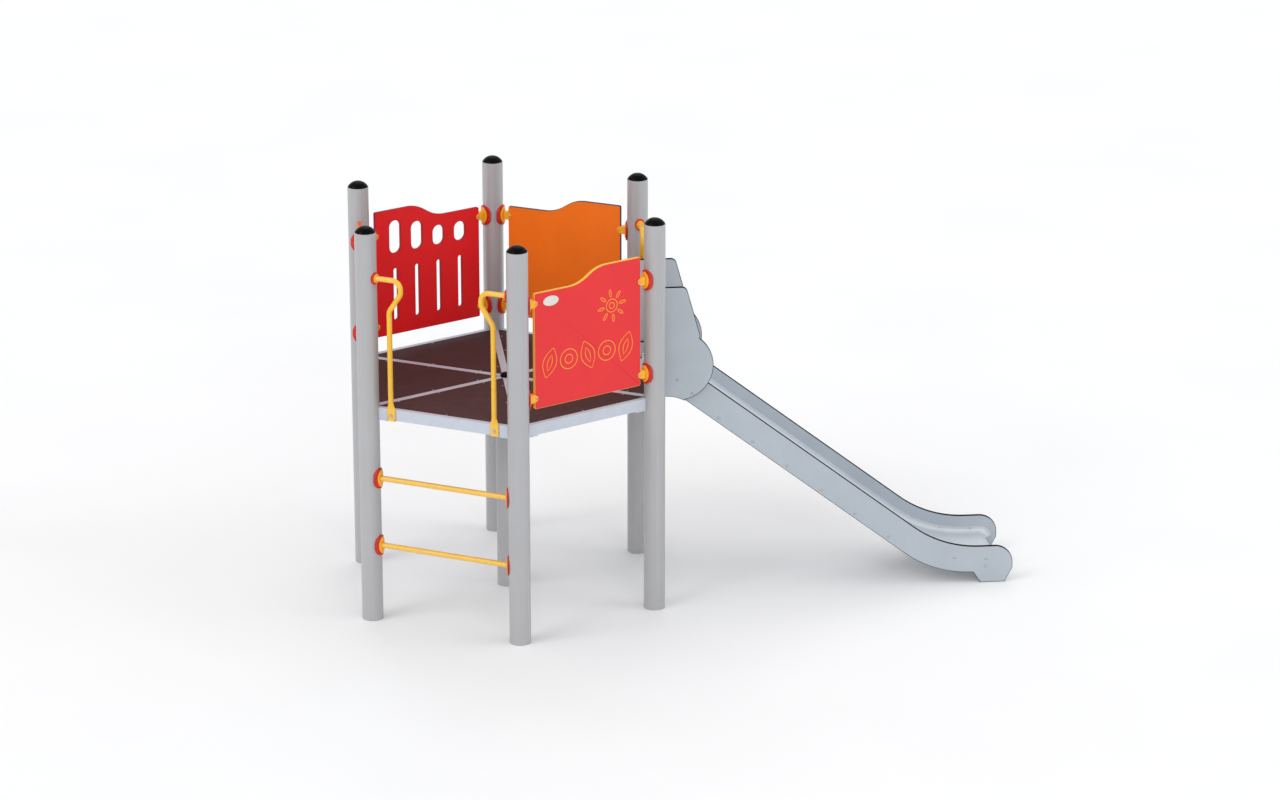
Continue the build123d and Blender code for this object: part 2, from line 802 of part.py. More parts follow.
back_x = side_apothem - head_overlap
over_deck = deck_top + head_gap
wall_base = wall_top - wall_depth
brow_low, foot_low = bottom_line(wall_depth)
for name, side in (("chute_wall_right", -1), ("chute_wall_left", 1)):
    with BuildPart() as wall:
        with BuildSketch(Plane.XZ.offset(-side * wall_mid)):
            with BuildLine():
                FilletPolyline(
                    (back_x, over_deck),
                    (back_x, wall_top),
                    (brow_x, wall_top),
                    (foot_x, exit_top),
                    (nose_x, exit_top),
                    (nose_x, 80.0),
                    (toe_front, 0.0),
                    (toe_back, 0.0),
                    (toe_notch, exit_top - wall_depth),
                    foot_low,
                    brow_low,
                    (head_x, wall_base),
                    (head_x, over_deck),
                    radius=(
                        4.0,
                        12.0,
                        brow_radius,
                        run_out_radius,
                        nose_radius,
                        40.0,
                        5.0,
                        5.0,
                        5.0,
                        underside_radius,
                        brow_radius - wall_depth,
                        4.0,
                        0.0,
                    ),
                    close=True,
                )
            make_face()
            wall_holes()
        extrude(amount=wall_thickness / 2.0, both=True)
    save(wall, name)

for name, side in (("wing_right", -1), ("wing_left", 1)):
    with BuildPart() as wing:
        with BuildSketch(Plane.XZ.offset(-side * wing_mid)):
            with BuildLine():
                FilletPolyline(
                    (back_x, over_deck),
                    (back_x, wing_top),
                    (wing_top_x, wing_top),
                    (wing_slant_x, wing_slant_z),
                    (wing_disc_x + wing_disc_radius * 0.5, wing_disc_z),
                    (wing_disc_x, wall_base - wall_depth),
                    (head_x, wall_base - wall_depth),
                    (head_x, over_deck),
                    radius=(4.0, 12.0, wing_corner, 0.0, 0.0, 0.0, 0.0, 0.0),
                    close=True,
                )
            make_face()
            with Locations((wing_disc_x, wing_disc_z)):
                Circle(wing_disc_radius)
            with BuildLine(mode=Mode.PRIVATE) as below:
                FilletPolyline(
                    (0, wall_base),
                    brow_low,
                    foot_low,
                    (foot_low[0], 0),
                    (0, 0),
                    radius=(0.0, brow_radius - wall_depth, 0.0, 0.0, 0.0),
                    close=True,
                )
            make_face(below.edges(), mode=Mode.SUBTRACT)
            with Locations((head_x, over_deck)):
                Rectangle(wing_top, wing_top, align=(Align.MAX, Align.MAX), mode=Mode.SUBTRACT)
            with Locations((back_x, over_deck)):
                Rectangle(wing_top, wing_top, align=(Align.MAX, Align.MIN), mode=Mode.SUBTRACT)
            for x, z in wing_bolts:
                with Locations((x, z)):
                    Circle(m8_radius + fit_gap, mode=Mode.SUBTRACT)
            with Locations(bracket_point):
                Circle(m8_radius + fit_gap, mode=Mode.SUBTRACT)
        extrude(amount=wall_thickness / 2.0, both=True)
    save(wing, name)

# ------------------------------------------------------------------ trough
trough_half = chute_inner_width / 2.0 - trough_gap
shift = trough_depth * half_slope
trough_top = wall_top - trough_depth
trough_low = exit_top - trough_depth
with BuildPart() as trough:
    with BuildLine(Plane.XZ) as run:
        stretch = FilletPolyline(
            (head_x, trough_top),
            (brow_x - shift, trough_top),
            (foot_x - shift, trough_low),
            (lip_x, trough_low),
            radius=(brow_radius - trough_depth, run_out_radius + trough_depth),
        )
        JernArc(stretch @ 1, stretch % 1, lip_radius, -lip_turn)
    with BuildSketch(Plane(origin=(head_x, 0, trough_top), x_dir=(0, 1, 0), z_dir=(1, 0, 0))):
        with BuildLine():
            FilletPolyline(
                (-trough_half, trough_side),
                (-trough_half, -trough_sheet),
                (trough_half, -trough_sheet),
                (trough_half, trough_side),
                radius=(0.0, trough_corner + trough_sheet, trough_corner + trough_sheet, 0.0),
                close=True,
            )
        make_face()
        with BuildLine():
            FilletPolyline(
                (-trough_half + trough_sheet, trough_side),
                (-trough_half + trough_sheet, 0),
                (trough_half - trough_sheet, 0),
                (trough_half - trough_sheet, trough_side),
                radius=(0.0, trough_corner, trough_corner, 0.0),
                close=True,
            )
        make_face(mode=Mode.SUBTRACT)
    sweep(path=run.line)
    with BuildSketch(Plane.XZ):
        for x, z in side_points:
            with Locations((x, z)):
                Circle(m8_radius + fit_gap)
    extrude(amount=chute_inner_width, both=True, mode=Mode.SUBTRACT)
save(trough, "trough")

# ------------------------------------------------------------------ cross tubes and slide fixings
cross_half = chute_inner_width / 2.0 - trough_gap
stations = [(point, cross_radius) for point in cross_points] + [(exit_cross, exit_cross_radius)]
with BuildPart() as cross_tubes:
    for point, radius in stations:
        with BuildSketch(Plane.XZ):
            with Locations(point):
                Circle(radius)
                Circle(m8_radius, mode=Mode.SUBTRACT)
        extrude(amount=cross_half, both=True)
        with BuildSketch(Plane.XZ):
            with Locations(point):
                Circle(radius - tube_wall)
        extrude(amount=cross_half - cross_plug, both=True, mode=Mode.SUBTRACT)
save(cross_tubes, "cross_tubes")


def wall_bolt(x, z, side, outer, inner):
    """Bolt with its domed head on the outer face and its shank ending at inner."""
    with BuildPart() as bolt:
        with BuildSketch(Plane.XZ.offset(-side * outer)):
            with Locations((x, z)):
                Circle(head_radius)
        extrude(amount=-side * head_height, taper=25)
        with BuildSketch(Plane.XZ.offset(-side * outer)):
            with Locations((x, z)):
                Circle(m8_radius)
        extrude(amount=side * (outer - inner))
    return bolt.part


wall_outer = wall_mid + wall_thickness / 2.0
wing_outer = wing_mid + wall_thickness / 2.0
wall_inner = chute_inner_width / 2.0
thread_end = cross_half - cross_plug + 1.0
bolts = []
for side in (-1, 1):
    for x, z in cross_points + [exit_cross]:
        bolts.append(wall_bolt(x, z, side, wall_outer, thread_end))
    for x, z in side_points:
        bolts.append(wall_bolt(x, z, side, wall_outer, trough_half - trough_sheet - head_height))
    for x, z in wing_bolts:
        bolts.append(wall_bolt(x, z, side, wing_outer, wall_inner))
    bolts.append(
        wall_bolt(bracket_point[0], bracket_point[1], side, wing_outer, wall_inner - sheet - nut_thickness)
    )
bracket_spots = []
for side in (-1, 1):
    bracket_spots.append((hex_radius / 2.0 + side * (wall_inner - bracket_inset), bracket_point[1]))

with BuildPart() as slide_bolts:
    for bolt in bolts:
        add(bolt)
    with BuildSketch(side_plane(3, sheet)):
        with Locations(*bracket_spots):
            RegularPolygon(nut_width / 2.0, 6, major_radius=False)
    extrude(amount=6.0)
    with BuildSketch(side_plane(3, sheet)):
        with Locations(*bracket_spots):
            Circle(bolt_radius)
    extrude(amount=-2.0 * sheet - nut_thickness)
    with BuildSketch(side_plane(3, -sheet)):
        with Locations(*bracket_spots):
            RegularPolygon(nut_width / 2.0, 6, major_radius=False)
    extrude(amount=-nut_thickness)
save(slide_bolts, "slide_bolts")

bracket_leg = 60.0
bracket_low = wall_base + 4.0
bracket_high = trough_top - trough_sheet - 4.0
with BuildPart() as head_brackets:
    for side in (-1, 1):
        with BuildSketch(Plane.XY.offset(bracket_low)):
            with BuildLine():
                Polyline(
                    (side_apothem, side * wall_inner),
                    (side_apothem, side * (wall_inner - bracket_leg)),
                    (side_apothem + sheet, side * (wall_inner - bracket_leg)),
                    (side_apothem + sheet, side * (wall_inner - sheet)),
                    (side_apothem + bracket_leg, side * (wall_inner - sheet)),
                    (side_apothem + bracket_leg, side * wall_inner),
                    close=True,
                )
            make_face()
        extrude(amount=bracket_high - bracket_low)
    with BuildSketch(Plane.XZ):
        with Locations(bracket_point):
            Circle(m8_radius + fit_gap)
    extrude(amount=chute_inner_width, both=True, mode=Mode.SUBTRACT)
    with BuildSketch(side_plane(3)):
        with Locations(*bracket_spots):
            Circle(bolt_radius + fit_gap)
    extrude(amount=2.0 * sheet, both=True, mode=Mode.SUBTRACT)
save(head_brackets, "head_brackets")
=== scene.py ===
"""Dresses the hexagonal play tower and its straight slide, and sets a plain studio around them."""

import logging
import math
from dataclasses import dataclass, field
from enum import Enum

import bmesh
import bpy
from mathutils import Matrix, Vector


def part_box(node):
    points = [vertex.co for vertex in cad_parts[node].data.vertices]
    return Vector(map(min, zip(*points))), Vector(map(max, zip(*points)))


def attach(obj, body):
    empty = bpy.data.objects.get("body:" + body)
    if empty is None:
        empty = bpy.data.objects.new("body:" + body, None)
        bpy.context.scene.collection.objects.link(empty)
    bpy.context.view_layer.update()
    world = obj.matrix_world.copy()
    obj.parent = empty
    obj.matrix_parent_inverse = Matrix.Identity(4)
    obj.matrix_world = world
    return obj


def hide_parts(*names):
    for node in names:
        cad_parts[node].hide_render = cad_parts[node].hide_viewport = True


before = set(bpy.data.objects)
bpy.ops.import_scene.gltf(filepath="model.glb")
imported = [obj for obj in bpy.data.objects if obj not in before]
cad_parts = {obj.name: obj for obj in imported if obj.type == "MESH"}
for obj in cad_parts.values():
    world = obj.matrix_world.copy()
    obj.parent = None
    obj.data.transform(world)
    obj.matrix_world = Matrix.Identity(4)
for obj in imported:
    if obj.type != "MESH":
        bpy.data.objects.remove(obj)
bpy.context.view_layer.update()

LOG = logging.getLogger("play_tower")
SIDES = 6
FIRST_POST = math.radians(-150.0)
FOLD_TURN = 60.0
FITTING_TURN = 50.0

Colour = tuple[float, float, float, float]


def ink(red: int, green: int, blue: int) -> Colour:
    """Turns a paint colour of 0 to 255 per channel into the linear colour a shader takes.

    Args:
        red: Red channel, 0 to 255.
        green: Green channel, 0 to 255.
        blue: Blue channel, 0 to 255.

    Returns:
        The linear colour with an alpha of 1.
    """
    linear = []
    for channel in (red, green, blue):
        value = channel / 255.0
        linear.append(value / 12.92 if value <= 0.04045 else ((value + 0.055) / 1.055) ** 2.4)
    return (linear[0], linear[1], linear[2], 1.0)


def tinted(colour: Colour, factor: float) -> Colour:
    """Returns the colour with its brightness multiplied by factor."""
    return (colour[0] * factor, colour[1] * factor, colour[2] * factor, 1.0)


# ------------------------------------------------------------------------------- finishes


class Recipe:
    """The node tree of one finish, wired up step by step around a single shader."""

    def __init__(self, name: str) -> None:
        """Starts a material with its shader and its object coordinates.

        Args:
            name: Name of the material.
        """
        self.material = bpy.data.materials.new(name)
        self.material.use_nodes = True
        self.nodes = self.material.node_tree.nodes
        self.links = self.material.node_tree.links
        self.nodes.clear()
        output = self.nodes.new("ShaderNodeOutputMaterial")
        self.shader = self.nodes.new("ShaderNodeBsdfPrincipled")
        self.links.new(self.shader.outputs["BSDF"], output.inputs["Surface"])
        self.place = self.nodes.new("ShaderNodeTexCoord").outputs["Object"]

    def set(self, **constants: float) -> None:
        """Sets constants on the shader, with underscores standing for spaces in socket names."""
        for name, value in constants.items():
            self.shader.inputs[name.replace("_", " ")].default_value = value

    def feed(self, socket: str, source: bpy.types.NodeSocket) -> None:
        """Links a source to one of the shader's sockets."""
        self.links.new(source, self.shader.inputs[socket])

    def mapped(
        self, scale: tuple[float, float, float], turn: tuple[float, float, float] = (0.0, 0.0, 0.0)
    ) -> bpy.types.NodeSocket:
        """Object coordinates turned and stretched along the axes.

        Args:
            scale: Factor along each axis.
            turn: Rotation about each axis in radians.

        Returns:
            The socket that carries the new coordinates.
        """
        node = self.nodes.new("ShaderNodeMapping")
        node.inputs["Scale"].default_value = scale
        node.inputs["Rotation"].default_value = turn
        self.links.new(self.place, node.inputs["Vector"])
        return node.outputs["Vector"]

    def noise(
        self, scale: float, detail: float = 3.0, rough: float = 0.5, place: bpy.types.NodeSocket | None = None
    ) -> bpy.types.NodeSocket:
        """Cloudy noise.

        Args:
            scale: Cells per metre.
            detail: Number of finer layers.
            rough: Weight of the finer layers.
            place: Coordinates to use instead of the object's.

        Returns:
            The socket that carries the noise, about 0.5 on average.
        """
        node = self.nodes.new("ShaderNodeTexNoise")
        node.inputs["Scale"].default_value = scale
        node.inputs["Detail"].default_value = detail
        node.inputs["Roughness"].default_value = rough
        self.links.new(place or self.place, node.inputs["Vector"])
        return node.outputs["Fac"]

    def cells(self, scale: float, place: bpy.types.NodeSocket | None = None) -> bpy.types.NodeSocket:
        """Distance to the nearest of scattered points.

        Args:
            scale: Cells per metre.
            place: Coordinates to use instead of the object's.

        Returns:
            The socket that carries the distance.
        """
        node = self.nodes.new("ShaderNodeTexVoronoi")
        node.inputs["Scale"].default_value = scale
        self.links.new(place or self.place, node.inputs["Vector"])
        return node.outputs["Distance"]

    def waves(self, scale: float, place: bpy.types.NodeSocket) -> bpy.types.NodeSocket:
        """Straight parallel waves across the given coordinates.

        Args:
            scale: How closely the waves follow one another.
            place: Coordinates.

        Returns:
            The socket that carries the waves.
        """
        node = self.nodes.new("ShaderNodeTexWave")
        node.inputs["Scale"].default_value = scale
        self.links.new(place, node.inputs["Vector"])
        return node.outputs["Fac"]

    def spread(
        self, source: bpy.types.NodeSocket, low: float, high: float, start: float = 0.3, stop: float = 0.7
    ) -> bpy.types.NodeSocket:
        """Spreads a value that runs from start to stop over the range low to high.

        Args:
            source: Value to spread.
            low: Result at start.
            high: Result at stop.
            start: Value that gives low.
            stop: Value that gives high.

        Returns:
            The socket that carries the result.
        """
        node = self.nodes.new("ShaderNodeMapRange")
        node.inputs["From Min"].default_value = start
        node.inputs["From Max"].default_value = stop
        node.inputs["To Min"].default_value = low
        node.inputs["To Max"].default_value = high
        self.links.new(source, node.inputs["Value"])
        return node.outputs["Result"]

    def maths(
        self, operation: str, first: bpy.types.NodeSocket, second: bpy.types.NodeSocket | float
    ) -> bpy.types.NodeSocket:
        """Joins two values with a maths operation.

        Args:
            operation: Blender's name of the operation.
            first: First value.
            second: Second value, a socket or a number.

        Returns:
            The socket that carries the result.
        """
        node = self.nodes.new("ShaderNodeMath")
        node.operation = operation
        self.links.new(first, node.inputs[0])
        if isinstance(second, float):
            node.inputs[1].default_value = second
        else:
            self.links.new(second, node.inputs[1])
        return node.outputs["Value"]

    def blend(
        self, source: bpy.types.NodeSocket, first: Colour | bpy.types.NodeSocket, second: Colour
    ) -> bpy.types.NodeSocket:
        """Mixes two colours by a value.

        Args:
            source: Share of the second colour.
            first: Colour at 0, or the socket that carries it.
            second: Colour at 1.

        Returns:
            The socket that carries the colour.
        """
        node = self.nodes.new("ShaderNodeMix")
        node.data_type = "RGBA"
        colours = [s for s in node.inputs if s.type == "RGBA"]
        if isinstance(first, tuple):
            colours[0].default_value = first
        else:
            self.links.new(first, colours[0])
        colours[1].default_value = second
        self.links.new(source, node.inputs["Factor"])
        return next(s for s in node.outputs if s.type == "RGBA")

    def tone(self, source: bpy.types.NodeSocket, colour: Colour, dark: float, light: float) -> None:
        """Feeds the base colour, which runs from a darker to a lighter tint of one colour by a value.

        Args:
            source: Share of the lighter tint.
            colour: The colour itself.
            dark: Brightness of the darker tint.
            light: Brightness of the lighter tint.
        """
        self.feed("Base Color", self.blend(source, tinted(colour, dark), tinted(colour, light)))

    def relief(self, source: bpy.types.NodeSocket, depth: float, strength: float = 1.0) -> None:
        """Turns a value into small surface relief.

        Args:
            source: Height, from 0 to 1.
            depth: Depth of the relief in metres.
            strength: Share of the relief that shows.
        """
        node = self.nodes.new("ShaderNodeBump")
        node.inputs["Distance"].default_value = depth
        node.inputs["Strength"].default_value = strength
        self.links.new(source, node.inputs["Height"])
        self.feed("Normal", node.outputs["Normal"])

    def worn_edges(self, start: float = 0.52, stop: float = 0.6) -> bpy.types.NodeSocket:
        """Value that rises to 1 on sharp convex edges."""
        source = self.nodes.new("ShaderNodeNewGeometry").outputs["Pointiness"]
        return self.spread(source, 0.0, 1.0, start, stop)


@dataclass(frozen=True)
class Finish:
    """A finish that is made once and shared by every piece that wears it."""

    name: str
    colour: Colour

    def recipe(self) -> Recipe:
        """Builds the node tree."""
        raise NotImplementedError

    def material(self) -> bpy.types.Material:
        """Returns the finished material, made on first use."""
        made = bpy.data.materials.get(self.name)
        return made if made is not None else self.recipe().material


@dataclass(frozen=True)
class PostCoat(Finish):
    """Satin silver-grey coating over drawn steel tube, with faint streaks along the tube."""

    def recipe(self) -> Recipe:
        """Builds the coat from long vertical streaks, soft clouds and a fine orange peel.

        Returns:
            The wired finish.
        """
        mix = Recipe(self.name)
        streaks = mix.noise(60.0, 4.0, 0.6, mix.mapped((1.0, 1.0, 0.02)))
        clouds = mix.noise(5.0, 3.0)
        tone = mix.maths("ADD", mix.spread(streaks, 0.0, 0.6), mix.spread(clouds, 0.0, 0.4))
        mix.tone(tone, self.colour, 0.95, 1.05)
        mix.feed("Roughness", mix.spread(mix.noise(24.0, 4.0), 0.34, 0.46))
        mix.relief(mix.noise(1400.0, 2.0), 0.00006, 0.35)
        mix.set(Metallic=0.2, Coat_Weight=0.12, Coat_Roughness=0.3)
        return mix


@dataclass(frozen=True)
class PowderCoat(Finish):
    """Semi-gloss powder coat with orange peel, specks and slightly thin edges."""

    gloss: float = 0.3
    peel: float = 0.00012

    def recipe(self) -> Recipe:
        """Builds the coat from clouds of tone, a fine peel and paler worn edges.

        Returns:
            The wired finish.
        """
        mix = Recipe(self.name)
        clouds = mix.noise(14.0, 5.0, 0.6)
        base = mix.blend(mix.spread(clouds, 0.0, 1.0), tinted(self.colour, 0.94), tinted(self.colour, 1.04))
        worn = tuple(0.75 * c + 0.18 for c in self.colour[:3]) + (1.0,)
        wear = mix.maths("MULTIPLY", mix.worn_edges(), mix.spread(mix.noise(90.0), 0.0, 0.5))
        mix.feed("Base Color", mix.blend(wear, base, worn))
        mix.feed("Roughness", mix.spread(mix.noise(40.0, 4.0), self.gloss - 0.05, self.gloss + 0.08))
        mix.relief(mix.noise(650.0, 2.0, 0.4), self.peel, 0.4)
        mix.set(Coat_Weight=0.3, Coat_Roughness=0.18)
        return mix


@dataclass(frozen=True)
class SheetSkin(Finish):
    """Outer skin of solid plastic sheet, with a fine pressed grain."""

    def recipe(self) -> Recipe:
        """Builds the skin from a fine pebble grain and barely visible handling marks.

        Returns:
            The wired finish.
        """
        mix = Recipe(self.name)
        clouds = mix.noise(6.0, 5.0, 0.6)
        mix.tone(mix.spread(clouds, 0.0, 1.0), self.colour, 0.96, 1.03)
        scuffs = mix.noise(30.0, 6.0, 0.7, mix.mapped((1.0, 1.0, 0.25)))
        mix.feed("Roughness", mix.spread(scuffs, 0.38, 0.5))
        pebbles = mix.spread(mix.cells(750.0), 0.0, 0.7, 0.0, 0.8)
        grain = mix.maths("ADD", pebbles, mix.spread(mix.noise(1500.0), 0.0, 0.3))
        mix.relief(grain, 0.00008, 0.4)
        mix.set(Specular_IOR_Level=0.3)
        return mix


@dataclass(frozen=True)
class CutEdge(Finish):
    """Machined edge of plastic sheet, with the cutter's fine upright marks and a lighter rub."""

    shine: float = 0.3

    def recipe(self) -> Recipe:
        """Builds the edge from thin layers and a soft sheen.

        Returns:
            The wired finish.
        """
        mix = Recipe(self.name)
        marks = mix.noise(500.0, 3.0, 0.6, mix.mapped((1.0, 1.0, 0.5)))
        mix.tone(mix.spread(marks, 0.0, 1.0), self.colour, 0.9, 1.08)
        mix.feed("Roughness", mix.spread(mix.noise(300.0), 0.5, 0.7))
        mix.relief(marks, 0.00005, 0.4)
        mix.set(Specular_IOR_Level=self.shine)
        return mix


@dataclass(frozen=True)
class Moulded(Finish):
    """Injection-moulded fitting, glossy, with a little cloudiness in the colour."""

    gloss: float = 0.26
    shine: float = 0.5

    def recipe(self) -> Recipe:
        """Builds the plastic from soft flow clouds and a faint spark texture.

        Returns:
            The wired finish.
        """
        mix = Recipe(self.name)
        clouds = mix.noise(28.0, 4.0, 0.6)
        mix.tone(mix.spread(clouds, 0.0, 1.0), self.colour, 0.92, 1.05)
        mix.feed("Roughness", mix.spread(mix.noise(120.0, 3.0), self.gloss - 0.05, self.gloss + 0.1))
        mix.relief(mix.noise(1800.0, 2.0), 0.00004, 0.35)
        mix.set(Specular_IOR_Level=self.shine)
        return mix


@dataclass(frozen=True)
class BrushedSheet(Finish):
    """Ground stainless sheet, brushed down the slide, with light rub marks."""

    def recipe(self) -> Recipe:
        """Builds the metal from long fine lines, cloudy polish and shallow scratches.

        Returns:
            The wired finish.
        """
        mix = Recipe(self.name)
        lines = mix.noise(6.0, 5.0, 0.75, mix.mapped((0.25, 160.0, 0.25)))
        clouds = mix.noise(3.0, 4.0, 0.6)
        tone = mix.maths("ADD", mix.spread(lines, 0.0, 0.6), mix.spread(clouds, 0.0, 0.4))
        mix.tone(tone, self.colour, 0.9, 1.08)
        polish = mix.maths("ADD", mix.spread(lines, 0.0, 0.08), mix.spread(clouds, 0.42, 0.52))
        mix.feed("Roughness", polish)
        mix.relief(lines, 0.00004, 0.3)
        mix.set(Metallic=0.4)
        return mix


@dataclass(frozen=True)
class ZincSteel(Finish):
    """Plated steel of bolts, brackets and tubes."""

    def recipe(self) -> Recipe:
        """Builds the plating from small spangles and uneven polish.

        Returns:
            The wired finish.
        """
        mix = Recipe(self.name)
        spangle = mix.cells(260.0)
        mix.tone(mix.spread(spangle, 0.0, 1.0, 0.1, 0.7), self.colour, 0.85, 1.05)
        mix.feed("Roughness", mix.spread(mix.noise(180.0, 4.0), 0.26, 0.44))
        mix.relief(mix.noise(900.0), 0.00004, 0.4)
        mix.set(Metallic=0.95)
        return mix


@dataclass(frozen=True)
class DeckFilm(Finish):
    """Dark phenolic film on plywood, pressed with a fine anti-slip mesh."""

    pitch: float = 0.0045

    def recipe(self) -> Recipe:
        """Builds the film from two crossed sets of ridges, dusty wear and soft clouds.

        Returns:
            The wired finish.
        """
        mix = Recipe(self.name)
        turn = math.radians(45.0)
        ribs = 1.0 / (self.pitch * 20.0)
        one = mix.waves(ribs * math.tau, mix.mapped((1.0, 1.0, 0.0), (0.0, 0.0, turn)))
        two = mix.waves(ribs * math.tau, mix.mapped((1.0, 1.0, 0.0), (0.0, 0.0, -turn)))
        mesh = mix.maths("MAXIMUM", one, two)
        clouds = mix.noise(7.0, 5.0, 0.65)
        dust = mix.maths("MULTIPLY", mix.spread(clouds, 0.0, 0.7), mix.spread(mesh, 0.2, 1.0, 0.5, 1.0))
        mix.tone(dust, self.colour, 0.88, 1.22)
        mix.feed("Roughness", mix.spread(clouds, 0.6, 0.75))
        mix.relief(mesh, 0.00035, 0.5)
        mix.set(Specular_IOR_Level=0.25)
        return mix


@dataclass(frozen=True)
class PlyEdge(Finish):
    """Sealed edge of plywood, with its plies just showing."""

    def recipe(self) -> Recipe:
        """Builds the edge from level layers under dark sealer.

        Returns:
            The wired finish.
        """
        mix = Recipe(self.name)
        plies = mix.waves(38.0, mix.mapped((0.0, 0.0, 1.0), (0.0, math.radians(90.0), 0.0)))
        grain = mix.noise(60.0, 4.0, 0.6, mix.mapped((1.0, 1.0, 8.0)))
        tone = mix.maths("MULTIPLY", plies, mix.spread(grain, 0.4, 1.0))
        mix.tone(tone, self.colour, 0.7, 1.5)
        mix.feed("Roughness", mix.spread(grain, 0.55, 0.75))
        mix.relief(tone, 0.0001, 0.4)
        return mix


class Paint(Enum):
    """Every finish on the play tower, by the piece that wears it."""

    POST = PostCoat("post_coat", ink(176, 176, 178))
    CAP = Moulded("cap_black", ink(3, 3, 4), 0.28, 0.08)
    FRAME = PowderCoat("frame_coat", ink(190, 197, 208), 0.38, 0.00009)
    TUBE = PowderCoat("tube_yellow", ink(240, 186, 44), 0.28, 0.0001)
    DECK = DeckFilm("deck_film", ink(72, 40, 41))
    DECK_EDGE = PlyEdge("deck_ply_edge", ink(52, 34, 32))
    ORANGE = SheetSkin("orange_skin", ink(250, 120, 20))
    ORANGE_EDGE = CutEdge("orange_dark_core", ink(60, 62, 70))
    END_EDGE = CutEdge("orange_even_core", ink(228, 98, 24))
    RED = SheetSkin("window_red_skin", ink(232, 26, 32))
    RED_EDGE = CutEdge("window_red_edge", ink(178, 16, 22))
    FRONT = SheetSkin("front_red_skin", ink(229, 50, 53))
    FRONT_EDGE = CutEdge("front_yellow_core", ink(250, 190, 70))
    GREY = SheetSkin("slide_grey_skin", ink(176, 184, 192))
    GREY_EDGE = CutEdge("slide_black_core", ink(12, 13, 16), 0.08)
    SHEET = BrushedSheet("slide_stainless", ink(204, 210, 216))
    STEEL = ZincSteel("plated_steel", ink(186, 188, 191))
    SADDLE = Moulded("saddle_red", ink(202, 28, 19))
    BOSS = Moulded("boss_yellow", ink(250, 176, 34))
    PLATE = Moulded("badge_white", ink(222, 222, 216), 0.2)

    @property
    def material(self) -> bpy.types.Material:
        """The Blender material of this finish."""
        return self.value.material()


# ------------------------------------------------------------------------------- mesh tools


